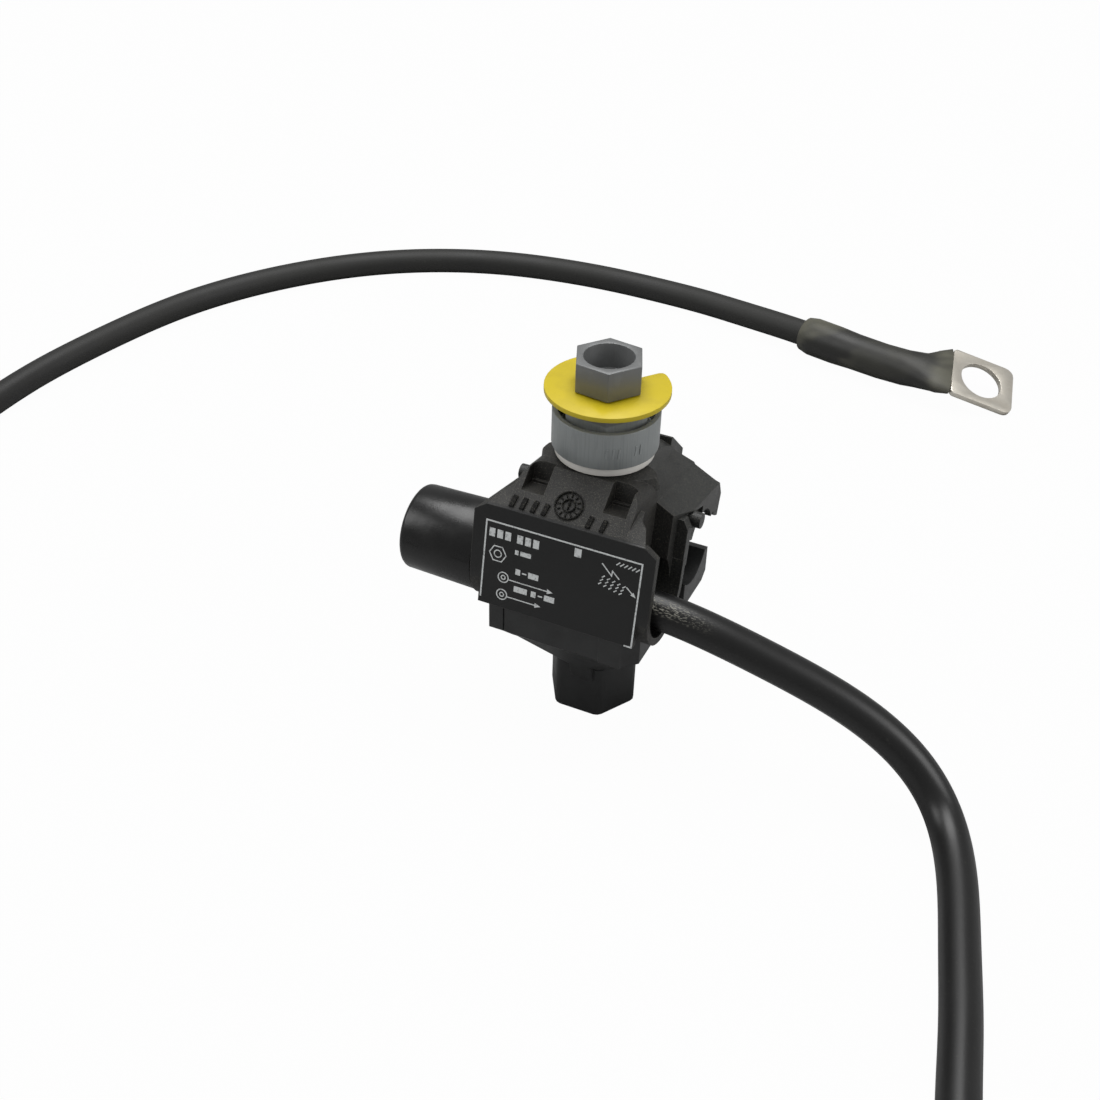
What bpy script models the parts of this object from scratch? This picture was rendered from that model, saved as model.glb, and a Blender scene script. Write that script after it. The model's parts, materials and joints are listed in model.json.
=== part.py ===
"""Insulation-piercing service connector with its tap cable and ring lug.

Two moulded jaws are drawn together by one shear-head bolt. The cables run
along X, the label side faces -Y, and the bolt stands on Z with the bottom of
the lower jaw's boss at the origin. All lengths are in metres.

The upper jaw is modelled in its own frame, whose origin is the centre of the
ball-shaped washer seat. It hangs from an empty that tips it about X.
"""
import math

import bmesh
import bpy
from mathutils import Vector

# General
GAP = 0.0003
ROUND_SIDES = 40
SMALL_ROUND_SIDES = 24

# Jaw frame
JAW_PIVOT_Z = 0.040
JAW_TILT_DEG = 10.27
JAW_TILT = math.radians(JAW_TILT_DEG)

# Bolt, nut and rocker washer
BOLT_R = 0.0040
BOLT_TIP_Z = 0.0060
BOLT_CHAMFER = 0.0008
BOLT_CLEARANCE = 0.0006
NUT_ACROSS = 0.0130
NUT_HEIGHT = 0.0065
NUT_BOTTOM_Z = 0.0049
SEAT_R = 0.0265
SEAT_TOP_Z = JAW_PIVOT_Z + SEAT_R
WASHER_THICKNESS = 0.0018
WASHER_R = 0.0104
BOLT_TOP_Z = SEAT_TOP_Z + 0.0055

# Shear head: cup, weak neck and drive hexagon
CUP_R = 0.0111
CUP_WALL = 0.0011
CUP_RIM_Z = SEAT_TOP_Z + 0.0083
CUP_FLOOR = 0.0020
COLLAR_ACROSS = 0.0163
COLLAR_TOP_Z = CUP_RIM_Z + 0.0024
NECK_R = 0.0045
DRIVE_ACROSS = 0.0130
NECK_HEIGHT = 0.0028
DRIVE_BOTTOM_Z = COLLAR_TOP_Z + NECK_HEIGHT
DRIVE_HEIGHT = 0.0064
DRIVE_TOP_Z = DRIVE_BOTTOM_Z + DRIVE_HEIGHT
DRIVE_BORE_R = 0.0052
DRIVE_BORE_DEPTH = 0.0055
HEAD_TURN = math.radians(-7.6)

# Yellow clip round the neck
CLIP_R = 0.01285
CLIP_THICKNESS = 0.0010
CLIP_HUB_R = 0.0068
CLIP_MOUTH_FROM = math.radians(52.0)
CLIP_MOUTH_TO = math.radians(136.0)
CLIP_CORNER = 0.0011

# Tap cable and main conductor
CABLE_R = 0.0040
TAP_Y = -0.0125
TAP_Z = 0.0381
TAP_GROOVE_R = 0.0062
TAP_TRAVEL = 0.0025
MAIN_Y = 0.0100
MAIN_Z = 0.0385
MAIN_GROOVE_R = 0.0080

# Lower jaw
BOSS_ACROSS = 0.0180
BOSS_HEIGHT = 0.0130
BOSS_FLOOR = 0.0015
BOSS_CORNER_R = 0.0011
BELLY_MID_Z = 0.0235
BELLY_TOP_Z = 0.0260
BELLY_MID_HALF = 0.0125
BELLY_SHRINK = 0.0025
BED_HALF = 0.0168
BED_FRONT_Y = -0.0195
BED_BACK_Y = -0.0072
BED_TOP_Z = 0.0360
BED_CORNER = 0.0030
BAND_TOP_Z = 0.0275
WEB_HALF = 0.0120
WEB_TOP_Z = 0.0370
LOWER_JAW_HALF = 0.0185
LOWER_JAW_FRONT_Y = 0.0045
LOWER_LIP_Y = 0.0184
LOWER_LIP_Z = 0.0339
RIB_FROM_X = 0.0088
RIB_TO_X = 0.0140
RIB_HEIGHT = 0.0005
BAND_GROOVE_X = -0.0133
BAND_GROOVE_DEPTH = 0.0004
TONGUE_HALF = 0.0026
TONGUE_X = 0.0011
TONGUE_DROP = 0.0030

# Upper jaw, in its own frame
PLATE_HALF = 0.0200
PLATE_Y = -0.0221
PLATE_THICKNESS = 0.0018
PLATE_BOTTOM_Z = -0.0088
PLATE_CORNER_Z = 0.0120
SLOPE_HALF = 0.0174
SLOPE_FOOT_Z = 0.0138
SLOPE_KNEE_Y = -0.0204
SLOPE_SIDE_HALF = 0.0142
SLOPE_SIDE_DROP = 0.0043
SLOPE_SIDE_Y = -0.0168
SLOPE_SIDE_BACK_Y = -0.0105
SLOPE_TOP_Y = -0.0145
SEAT_RISE = 0.0043
ROOF_Z = SEAT_R - SEAT_RISE
CORE_HALF = 0.0130
CORE_BOTTOM_Z = 0.0025
CORE_EDGE_R = 0.0040
SEAT_EDGE_R = 0.0036
SEAT_EDGE_TURN = math.radians(72.0)
CORE_FRONT_Y = -0.0175
WALL_Y = -0.0053
WALL_BOTTOM_Z = -0.0060
FLANK_HALF = 0.0190
FLANK_FRONT_HALF = 0.0170
FLANK_TOP_Z = 0.0162
FLANK_FALL = 0.5
SHOULDER_TOP_HALF = 0.0102
SHOULDER_TOP_Z = 0.0210
TOWER_HALF = 0.0097
TOWER_FRONT_Y = 0.0100
TOWER_FRONT_Z = ROOF_Z + 0.0024
TOWER_BACK_Y = 0.0183
TOWER_BACK_Z = 0.0192
SHOULDER_BACK_Z = 0.0167
CORNER_BACK_Y = 0.0021
UPPER_LIP_Y = 0.0211
UPPER_LIP_Z = 0.0099
UPPER_MAIN_Y = 0.0099
UPPER_MAIN_Z = 0.0038
STUD_R = 0.0017
STUD_LENGTH = 0.0020
STUD_Y = 0.0024
STUD_Z = 0.0111

# Recess round the stud, and the flange that narrows each end of the main groove
RECESS_DEPTH = 0.0010
RECESS_HALF_Y = 0.0062
RECESS_DROP = 0.0045
RECESS_TOP_Z = 0.0132
FLANGE_WIDTH = 0.0014
FLANGE_DEPTH = 0.0017
FLANGE_FROM = math.radians(24.0)
FLANGE_SWEEP = math.radians(140.0)

# Hip over the left collar, and the lip of the upper jaw
HIP_RISE = 0.0014
HIP_FALL = 0.0020
HIP_BACK_Y = -0.0095
HIP_BACK_Z = 0.0163
LIP_HEIGHT = 0.0051
LIP_WIDTH = 0.0025
LIP_SLANT = 0.0006
GROOVE_ROOF = 0.0010

# Collars round the tap cable, at both ends of the upper jaw
COLLAR_Y = -0.0120
COLLAR_Z = -0.0011
COLLAR_R = 0.0101
COLLAR_WALL = 0.0016
COLLAR_WIDTH = 0.0028
GUTTER_LEG_TOP_Z = 0.0040

# Wedge-shaped pockets in the front slope
POCKET_FROM_X = 0.0065
POCKET_TO_X = 0.0115
POCKET_FRONT_Y = -0.0215
POCKET_STEP_Y = -0.0139
POCKET_BACK_Y = -0.0132
POCKET_FLOOR_Z = 0.0173
POCKET_STEP_Z = 0.0179

# Blades and seals
BLADE_FROM_X = 0.0062
BLADE_THICKNESS = 0.0016
BLADE_CLEARANCE = 0.0003
TOOTH_PITCH = 0.0020
TAP_TOOTH_HEIGHT = 0.0020
MAIN_TOOTH_HEIGHT = 0.0014
TAP_TEETH = 2
MAIN_TEETH = 3
LOWER_BLADE_FOOT_Z = 0.0275
LOWER_TAP_TIP_Z = 0.0338
LOWER_MAIN_TIP_Z = 0.0323
UPPER_TAP_TIP_Z = 0.0050
UPPER_MAIN_TIP_Z = 0.0090
UPPER_BLADE_TOP_Z = 0.0140
BLADE_WEB = 0.0030
SEAL_HALF = 0.0125
SEAL_WALL = 0.0015
SEAL_SWEEP = math.radians(140.0)
MAIN_SEAL_SWEEP = math.radians(100.0)

# End cap
CAP_LENGTH = 0.0174
CAP_R = 0.0098
CAP_TIP_R = 0.0094
CAP_EDGE_R = 0.0012
CAP_SPIGOT_LENGTH = 0.0032
CAP_BORE_R = 0.0064
CAP_END_WALL = 0.0022

# Ring lug and its sleeve
LUG_HOLE_CENTRE = Vector((0.0516, 0.1717, 0.00605))
LUG_ALONG = Vector((0.907, 0.285, -0.310)).normalized()
LUG_HOLE_R = 0.00655
LUG_HALF_WIDTH = 0.0092
LUG_THICKNESS = 0.0016
LUG_NECK = 0.0094
LUG_NOSE = 0.0103
LUG_CORNER = 0.0028
LUG_SHOULDER_HALF = 0.0085
SLEEVE_WALL = 0.0006
BARREL_FIRST_SECTION = 3
CABLE_END_X = -0.0130

# The cable's route, chosen by hand: out of the tap side, across the floor,
# round the back and in again to the lug
CABLE_ROUTE = (
    (CABLE_END_X, TAP_Y, TAP_Z), (0.0036, TAP_Y, TAP_Z), (0.0200, TAP_Y, TAP_Z),
    (0.0276, -0.0113, 0.0359), (0.0361, -0.0099, 0.0329), (0.0446, -0.0085, 0.0296),
    (0.0531, -0.0070, 0.0260), (0.0618, -0.0059, 0.0219), (0.0699, -0.0052, 0.0168),
    (0.0746, -0.0053, 0.0132), (0.0785, -0.0060, 0.0098), (0.0816, -0.0074, 0.0066),
    (0.0842, -0.0101, 0.0045), (0.0873, -0.0172, 0.0040), (0.0905, -0.0270, 0.0040),
    (0.0940, -0.0418, 0.0040), (0.0980, -0.0580, 0.0040), (0.1010, -0.0740, 0.0040),
    (0.1050, -0.0950, 0.0040), (0.1000, -0.1180, 0.0040), (0.0800, -0.1380, 0.0040),
    (0.0450, -0.1510, 0.0040), (0.0000, -0.1600, 0.0040), (-0.0450, -0.1620, 0.0040),
    (-0.0900, -0.1520, 0.0040), (-0.1300, -0.1280, 0.0040), (-0.1630, -0.0930, 0.0040),
    (-0.1870, -0.0520, 0.0040), (-0.2000, -0.0080, 0.0040), (-0.2040, 0.0360, 0.0040),
    (-0.2007, 0.0702, 0.0040), (-0.1911, 0.1082, 0.0040), (-0.1733, 0.1397, 0.0040),
    (-0.1489, 0.1644, 0.0040), (-0.1186, 0.1804, 0.0040), (-0.0840, 0.1872, 0.0040),
    (-0.0476, 0.1871, 0.0040), (-0.0293, 0.1840, 0.0044), (-0.0123, 0.1793, 0.0056),
    (-0.0047, 0.1772, 0.0060), (0.0060, 0.1744, 0.0060),
)
CABLE_POINT_SPACING = 0.0160

# The sleeve's centre line: position, half width and half height of each section
SLEEVE_SECTIONS = (
    ((-0.0047, 0.1772, 0.0060), 0.0053, 0.0053),
    ((-0.0020, 0.1764, 0.0060), 0.0059, 0.0059),
    ((0.0060, 0.1744, 0.0060), 0.0059, 0.0059),
    ((0.0125, 0.1729, 0.0060), 0.0056, 0.0056),
    ((0.0216, 0.1706, 0.0062), 0.0055, 0.0055),
    ((0.0293, 0.1688, 0.0068), 0.0056, 0.0053),
    ((0.0350, 0.1678, 0.0077), 0.0066, 0.0043),
    ((0.0390, 0.1680, 0.0084), 0.0088, 0.0028),
    ((0.0426, 0.1689, 0.0090), 0.0095, 0.0019),
)


def remove_everything() -> None:
    """Empty the scene."""
    for scene_object in list(bpy.data.objects):
        bpy.data.objects.remove(scene_object)


def make_material(name: str, colour: tuple, roughness: float, metallic: float = 0.0):
    """Return a Principled material."""
    material = bpy.data.materials.new(name)
    material.use_nodes = True
    shader = material.node_tree.nodes["Principled BSDF"]
    shader.inputs["Base Color"].default_value = (*colour, 1.0)
    shader.inputs["Roughness"].default_value = roughness
    shader.inputs["Metallic"].default_value = metallic
    return material


def object_from_bmesh(name: str, mesh_data: bmesh.types.BMesh):
    """Turn a bmesh into a linked object with outward normals."""
    bmesh.ops.recalc_face_normals(mesh_data, faces=mesh_data.faces)
    mesh = bpy.data.meshes.new(name)
    mesh_data.to_mesh(mesh)
    mesh_data.free()
    made = bpy.data.objects.new(name, mesh)
    bpy.context.scene.collection.objects.link(made)
    return made


def place(axis: str, along: float, first: float, second: float) -> tuple:
    """Point at a distance along an axis, with its two other coordinates in order."""
    if axis == "X":
        return (along, first, second)
    if axis == "Y":
        return (first, along, second)
    return (first, second, along)


def prism(outline: list, axis: str, start: float, end: float, corner: float = 0.0, name: str = "tool"):
    """Extrude a closed outline along an axis, with optional rounded long edges."""
    mesh_data = bmesh.new()
    corners = [mesh_data.verts.new(place(axis, start, *point)) for point in outline]
    face = mesh_data.faces.new(corners)
    pushed = bmesh.ops.extrude_face_region(mesh_data, geom=[face])
    moved = [item for item in pushed["geom"] if isinstance(item, bmesh.types.BMVert)]
    bmesh.ops.translate(mesh_data, verts=moved, vec=Vector(place(axis, end - start, 0.0, 0.0)))
    if corner > 0.0:
        index = "XYZ".index(axis)
        long_edges = [
            edge for edge in mesh_data.edges
            if abs(edge.verts[0].co[index] - edge.verts[1].co[index]) > abs(end - start) / 2
        ]
        bmesh.ops.bevel(mesh_data, geom=long_edges, offset=corner, segments=2, profile=0.5, affect="EDGES")
    return object_from_bmesh(name, mesh_data)


def block(low: tuple, high: tuple, name: str = "tool"):
    """Box between two opposite corners."""
    outline = [(low[0], low[1]), (high[0], low[1]), (high[0], high[1]), (low[0], high[1])]
    return prism(outline, "Z", low[2], high[2], name=name)


def hull(points: list, name: str = "tool"):
    """Convex solid round a set of points."""
    mesh_data = bmesh.new()
    corners = [mesh_data.verts.new(point) for point in points]
    made = bmesh.ops.convex_hull(mesh_data, input=corners)
    loose = [item for item in made["geom_interior"] if isinstance(item, bmesh.types.BMVert)]
    bmesh.ops.delete(mesh_data, geom=loose, context="VERTS")
    bmesh.ops.dissolve_limit(mesh_data, angle_limit=0.001, verts=mesh_data.verts, edges=mesh_data.edges)
    return object_from_bmesh(name, mesh_data)


def arc(centre: tuple, radius: float, start: float, sweep: float, steps: int) -> list:
    """Points on a circular arc, both ends included."""
    angles = [start + sweep * step / steps for step in range(steps + 1)]
    return [(centre[0] + radius * math.cos(a), centre[1] + radius * math.sin(a)) for a in angles]


def circle(centre: tuple, radius: float, sides: int = ROUND_SIDES) -> list:
    """Points of a closed circle."""
    return arc(centre, radius, 0.0, 2 * math.pi, sides)[:-1]


def hexagon(across_flats: float, turn: float = 0.0) -> list:
    """Corners of a hexagon about the origin, the first one at the turn angle."""
    return arc((0.0, 0.0), across_flats / math.sqrt(3.0), turn, 2 * math.pi, 6)[:-1]


def ring_sector(centre: tuple, inner: float, outer: float, start: float, sweep: float, steps: int) -> list:
    """Outline of a curved strip between two radii."""
    outside = arc(centre, outer, start, sweep, steps)
    inside = arc(centre, inner, start + sweep, -sweep, steps)
    return outside + inside


def turned(profile: list, name: str = "tool", sides: int = ROUND_SIDES):
    """Spin a (radius, height) profile about Z; a profile off the axis is closed first."""
    mesh_data = bmesh.new()
    corners = [mesh_data.verts.new((radius, 0.0, height)) for radius, height in profile]
    edges = [mesh_data.edges.new(pair) for pair in zip(corners, corners[1:])]
    if profile[0][0] > 0.0:
        edges.append(mesh_data.edges.new((corners[-1], corners[0])))
    bmesh.ops.spin(
        mesh_data, geom=corners + edges, cent=(0.0, 0.0, 0.0), axis=(0.0, 0.0, 1.0),
        angle=2 * math.pi, steps=sides, use_duplicate=False,
    )
    bmesh.ops.remove_doubles(mesh_data, verts=mesh_data.verts, dist=0.000001)
    return object_from_bmesh(name, mesh_data)


def loft(sections: list, name: str = "tool"):
    """Skin a row of equal rings and cap both ends."""
    mesh_data = bmesh.new()
    rings = [[mesh_data.verts.new(point) for point in ring] for ring in sections]
    for low, high in zip(rings, rings[1:]):
        for index in range(len(low)):
            after = (index + 1) % len(low)
            mesh_data.faces.new((low[index], low[after], high[after], high[index]))
    mesh_data.faces.new(rings[0])
    mesh_data.faces.new(rings[-1])
    return object_from_bmesh(name, mesh_data)


def combine(target, tool, operation: str) -> None:
    """Apply one Boolean to the target's mesh and drop the tool."""
    modifier = target.modifiers.new(operation.title(), "BOOLEAN")
    modifier.operation = operation
    modifier.solver = "EXACT"
    modifier.object = tool
    evaluated = target.evaluated_get(bpy.context.evaluated_depsgraph_get())
    result = bpy.data.meshes.new_from_object(evaluated)
    result.name = target.name
    target.modifiers.remove(modifier)
    target.data = result
    bpy.data.objects.remove(tool)


def join(target, *tools):
    """Unite the tools with the target."""
    for tool in tools:
        combine(target, tool, "UNION")
    return target


def cut(target, *tools):
    """Cut the tools out of the target."""
    for tool in tools:
        combine(target, tool, "DIFFERENCE")
    return target


def finish(piece, name: str, material, parent=None):
    """Name a piece, merge its flat faces, give it its material and its parent."""
    piece.name = name
    mesh = piece.data
    mesh.name = name
    mesh.materials.clear()
    mesh.materials.append(material)
    mesh_data = bmesh.new()
    mesh_data.from_mesh(mesh)
    bmesh.ops.remove_doubles(mesh_data, verts=mesh_data.verts, dist=0.000002)
    bmesh.ops.dissolve_limit(mesh_data, angle_limit=0.002, verts=mesh_data.verts, edges=mesh_data.edges)
    for face in mesh_data.faces:
        face.material_index = 0
    mesh_data.to_mesh(mesh)
    mesh_data.free()
    mesh.shade_smooth()
    mesh.set_sharp_from_angle(angle=math.radians(32.0))
    if parent is not None:
        piece.parent = parent
    return piece


def bolt_cylinder(radius: float, low: float, high: float):
    """Cylinder on the bolt's axis."""
    return prism(circle((0.0, 0.0), radius, SMALL_ROUND_SIDES), "Z", low, high)


def make_bolt(material) -> None:
    """Shank of the clamping bolt, chamfered at both ends."""
    small = BOLT_R - BOLT_CHAMFER
    profile = [
        (0.0, BOLT_TIP_Z), (small, BOLT_TIP_Z), (BOLT_R, BOLT_TIP_Z + BOLT_CHAMFER),
        (BOLT_R, BOLT_TOP_Z - BOLT_CHAMFER), (small, BOLT_TOP_Z), (0.0, BOLT_TOP_Z),
    ]
    finish(turned(profile, sides=SMALL_ROUND_SIDES), "clamp_bolt", material)


def make_nut(material) -> None:
    """Hexagon nut held in the boss of the lower jaw."""
    nut = prism(hexagon(NUT_ACROSS), "Z", NUT_BOTTOM_Z, NUT_BOTTOM_Z + NUT_HEIGHT)
    cut(nut, bolt_cylinder(BOLT_R + GAP, 0.0, BOLT_TOP_Z))
    finish(nut, "captive_nut", material)


def ball_arc(radius: float, inner: float, outer: float, steps: int = 5) -> list:
    """(radius, height) points on a ball about the jaw pivot, from inner to outer radius."""
    start = math.asin(inner / radius)
    end = math.asin(outer / radius)
    angles = [start + (end - start) * step / steps for step in range(steps + 1)]
    return [(radius * math.sin(a), JAW_PIVOT_Z + radius * math.cos(a)) for a in angles]


def make_washer(material) -> None:
    """Dished rocker washer that seats on the ball-shaped top of the upper jaw."""
    hole = BOLT_R + BOLT_CLEARANCE
    under = ball_arc(SEAT_R + GAP, hole, WASHER_R)
    over = ball_arc(SEAT_R + GAP + WASHER_THICKNESS, hole, WASHER_R)
    finish(turned(under + over[::-1]), "rocker_washer", material)


def make_head(material) -> None:
    """Cast head: cup on the washer, collar hexagon, weak neck and drive hexagon."""
    under = ball_arc(SEAT_R + 2 * GAP + WASHER_THICKNESS, 0.0, CUP_R)
    floor = under[0][1] + CUP_FLOOR / 2
    inner = CUP_R - CUP_WALL
    profile = under + [(CUP_R, CUP_RIM_Z), (inner, CUP_RIM_Z), (inner, floor), (0.0, floor)]
    head = turned(profile)
    top = DRIVE_BOTTOM_Z + DRIVE_BORE_R / 10
    join(head, prism(hexagon(COLLAR_ACROSS, HEAD_TURN), "Z", floor - CUP_FLOOR / 4, COLLAR_TOP_Z))
    join(head, bolt_cylinder(NECK_R, COLLAR_TOP_Z - CUP_FLOOR, top))
    join(head, prism(hexagon(DRIVE_ACROSS, HEAD_TURN), "Z", DRIVE_BOTTOM_Z, DRIVE_TOP_Z))
    cut(head, bolt_cylinder(BOLT_R + GAP, JAW_PIVOT_Z, BOLT_TOP_Z + GAP))
    cut(head, bolt_cylinder(DRIVE_BORE_R, DRIVE_TOP_Z - DRIVE_BORE_DEPTH, DRIVE_TOP_Z + GAP))
    finish(head, "shear_head", material)


def make_clip(material) -> None:
    """Open disc with a hub that snaps round the neck."""
    disc_top = DRIVE_BOTTOM_Z - GAP
    disc_bottom = disc_top - CLIP_THICKNESS
    bore = NECK_R + GAP
    sweep = CLIP_MOUTH_FROM + 2 * math.pi - CLIP_MOUTH_TO
    outline = ring_sector((0.0, 0.0), bore, CLIP_R, CLIP_MOUTH_TO, sweep, ROUND_SIDES)
    clip = prism(outline, "Z", disc_bottom, disc_top)
    hub = ring_sector((0.0, 0.0), bore, CLIP_HUB_R, CLIP_MOUTH_TO, sweep, SMALL_ROUND_SIDES)
    join(clip, prism(hub, "Z", COLLAR_TOP_Z + GAP, disc_top - CLIP_THICKNESS / 2))
    for mouth in (CLIP_MOUTH_FROM, CLIP_MOUTH_TO):
        cut(clip, clip_corner(mouth, disc_bottom - GAP, disc_top + GAP))
    finish(clip, "head_clip", material)


def clip_corner(mouth: float, low: float, high: float):
    """Small wedge that takes the sharp corner off the clip's mouth."""
    side = -1.0 if mouth == CLIP_MOUTH_FROM else 1.0
    back = CLIP_CORNER / CLIP_R
    outline = [
        (CLIP_R - CLIP_CORNER, 0.0), (CLIP_R - CLIP_CORNER * 0.3, back * 0.3),
        (CLIP_R, back), (CLIP_R + CLIP_CORNER, back), (CLIP_R + CLIP_CORNER, -back),
        (CLIP_R - CLIP_CORNER, -back),
    ]
    turned_outline = [
        (radius * math.cos(mouth + side * angle), radius * math.sin(mouth + side * angle))
        for radius, angle in outline
    ]
    return prism(turned_outline, "Z", low, high)


def at_height(outline: list, height: float) -> list:
    """Lift flat points to a height."""
    return [(x, y, height) for x, y in outline]


def bed_outline(shrink: float = 0.0) -> list:
    """Plan outline of the lower jaw's band, drawn in by the same amount at the front."""
    half = BED_HALF
    front = BED_FRONT_Y + shrink
    back = LOWER_LIP_Y - BED_CORNER / 2
    return [
        (-half, front), (half - BED_CORNER, front), (half, front + BED_CORNER),
        (half, LOWER_JAW_FRONT_Y), (half - BED_CORNER, back), (BED_CORNER - half, back),
        (-half, LOWER_JAW_FRONT_Y),
    ]


def belly_middle() -> list:
    """Plan outline of the belly where its slope turns steeper."""
    front = BED_FRONT_Y + BELLY_SHRINK
    back = LOWER_LIP_Y - BED_CORNER
    half = BELLY_MID_HALF
    return [
        (-half, front), (half - BED_CORNER / 2, front), (half, front + BED_CORNER),
        (half, LOWER_JAW_FRONT_Y), (half - BED_CORNER, back), (BED_CORNER - half, back),
        (-half, LOWER_JAW_FRONT_Y),
    ]


def lower_jaw_profile() -> list:
    """Side profile of the main conductor's lower jaw, before its groove is cut."""
    front = LOWER_JAW_FRONT_Y
    nose = LOWER_LIP_Y - (LOWER_LIP_Y - MAIN_Y) * 0.25
    return [
        (front, BELLY_TOP_Z), (front, LOWER_LIP_Z), (nose, LOWER_LIP_Z + GAP), (LOWER_LIP_Y, LOWER_LIP_Z),
        (LOWER_LIP_Y, BAND_TOP_Z), (nose, BELLY_TOP_Z),
    ]


def make_lower_housing(material):
    """Lower jaw: hexagon boss, belly, cable bed, web and main jaw."""
    housing = prism(hexagon(BOSS_ACROSS), "Z", 0.0, BOSS_HEIGHT, corner=BOSS_CORNER_R)
    boss_top = at_height(circle((0.0, 0.0), BOSS_ACROSS / 2 + BOSS_CORNER_R / 2, 12), BOSS_HEIGHT - GAP)
    join(housing, hull(boss_top + at_height(belly_middle(), BELLY_MID_Z)))
    join(housing, hull(at_height(belly_middle(), BELLY_MID_Z - GAP) + at_height(bed_outline(), BELLY_TOP_Z)))
    join(housing, prism(bed_outline(), "Z", BELLY_TOP_Z - GAP, BAND_TOP_Z))
    bed = [
        (-BED_HALF, BED_FRONT_Y), (BED_HALF - BED_CORNER, BED_FRONT_Y), (BED_HALF, BED_FRONT_Y + BED_CORNER),
        (BED_HALF, BED_BACK_Y), (-BED_HALF, BED_BACK_Y),
    ]
    join(housing, prism(bed, "Z", BELLY_TOP_Z, BED_TOP_Z))
    web_back = LOWER_JAW_FRONT_Y + GAP
    join(housing, block((-WEB_HALF, BED_BACK_Y - GAP, BELLY_TOP_Z), (WEB_HALF, web_back, WEB_TOP_Z)))
    join(housing, prism(lower_jaw_profile(), "X", -LOWER_JAW_HALF, LOWER_JAW_HALF))
    front = BED_FRONT_Y
    join(housing, prism(
        [(RIB_FROM_X, front - RIB_HEIGHT), (RIB_TO_X - BED_CORNER / 10, front - RIB_HEIGHT),
         (RIB_TO_X, front + GAP), (RIB_FROM_X, front + GAP)],
        "Z", BELLY_TOP_Z - BED_CORNER / 10, BED_TOP_Z - BELLY_SHRINK))
    tongue_top = BOSS_HEIGHT + TONGUE_DROP
    tongue_y = -BOSS_ACROSS / 2
    join(housing, hull(
        [(x, tongue_y - y, z) for x in (TONGUE_X - TONGUE_HALF, TONGUE_X + TONGUE_HALF) for y, z in (
            (GAP, BOSS_HEIGHT - TONGUE_DROP), (-TONGUE_DROP, BOSS_HEIGHT - TONGUE_DROP),
            (TONGUE_DROP * 0.8, tongue_top), (-TONGUE_DROP, tongue_top))]))
    groove_half = BAND_GROOVE_DEPTH / 2
    groove = (BAND_GROOVE_X - groove_half, front - GAP, BELLY_MID_Z)
    cut(housing, block(groove, (BAND_GROOVE_X + groove_half, front + BAND_GROOVE_DEPTH, BED_TOP_Z + GAP)))
    cut(housing, prism(circle((TAP_Y, TAP_Z), TAP_GROOVE_R, 32), "X", -PLATE_HALF, PLATE_HALF))
    cut(housing, prism(circle((MAIN_Y, MAIN_Z), MAIN_GROOVE_R), "X", -PLATE_HALF, PLATE_HALF))
    cut(housing, bolt_cylinder(BOLT_R + BOLT_CLEARANCE, BOSS_FLOOR, WEB_TOP_Z + GAP))
    nut_room = NUT_BOTTOM_Z - GAP
    cut(housing, prism(hexagon(NUT_ACROSS + 2 * GAP), "Z", nut_room, nut_room + NUT_HEIGHT + 2 * GAP))
    for side in (-1.0, 1.0):
        cut(housing, blade_prism(lower_blade_outline(BLADE_CLEARANCE), side, BLADE_CLEARANCE))
    return finish(housing, "lower_housing", material)


def teeth(centre: float, tip: float, root: float, count: int) -> list:
    """Zigzag of piercing teeth along Y, starting and ending at the root."""
    half = count * TOOTH_PITCH / 2
    points = [(centre - half, root)]
    for index in range(count):
        points.append((centre - half + (index + 0.5) * TOOTH_PITCH, tip))
        points.append((centre - half + (index + 1) * TOOTH_PITCH, root))
    return points


def lower_blade_outline(grow: float = 0.0) -> list:
    """Side outline of a lower blade, optionally grown for its slot."""
    tap_root = LOWER_TAP_TIP_Z - TAP_TOOTH_HEIGHT
    main_root = LOWER_MAIN_TIP_Z - MAIN_TOOTH_HEIGHT
    web_top = LOWER_BLADE_FOOT_Z + BLADE_WEB * 0.65
    tap_half = TAP_TEETH * TOOTH_PITCH / 2
    main_half = MAIN_TEETH * TOOTH_PITCH / 2
    if grow > 0.0:
        tap = [
            (TAP_Y - tap_half - grow, LOWER_TAP_TIP_Z + grow),
            (TAP_Y + tap_half + grow, LOWER_TAP_TIP_Z + grow),
        ]
        main = [
            (MAIN_Y - main_half - grow, LOWER_MAIN_TIP_Z + grow),
            (MAIN_Y + main_half + grow, LOWER_MAIN_TIP_Z + grow),
        ]
    else:
        tap = teeth(TAP_Y, LOWER_TAP_TIP_Z, tap_root, TAP_TEETH)
        main = teeth(MAIN_Y, LOWER_MAIN_TIP_Z, main_root, MAIN_TEETH)
    slope = BLADE_WEB
    return (
        [(TAP_Y - tap_half - grow, LOWER_BLADE_FOOT_Z - grow)] + tap
        + [(TAP_Y + tap_half + slope, web_top + grow)]
        + [(MAIN_Y - main_half - slope / 2, web_top + grow)] + main
        + [(MAIN_Y + main_half + grow, LOWER_BLADE_FOOT_Z - grow)]
    )


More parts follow.
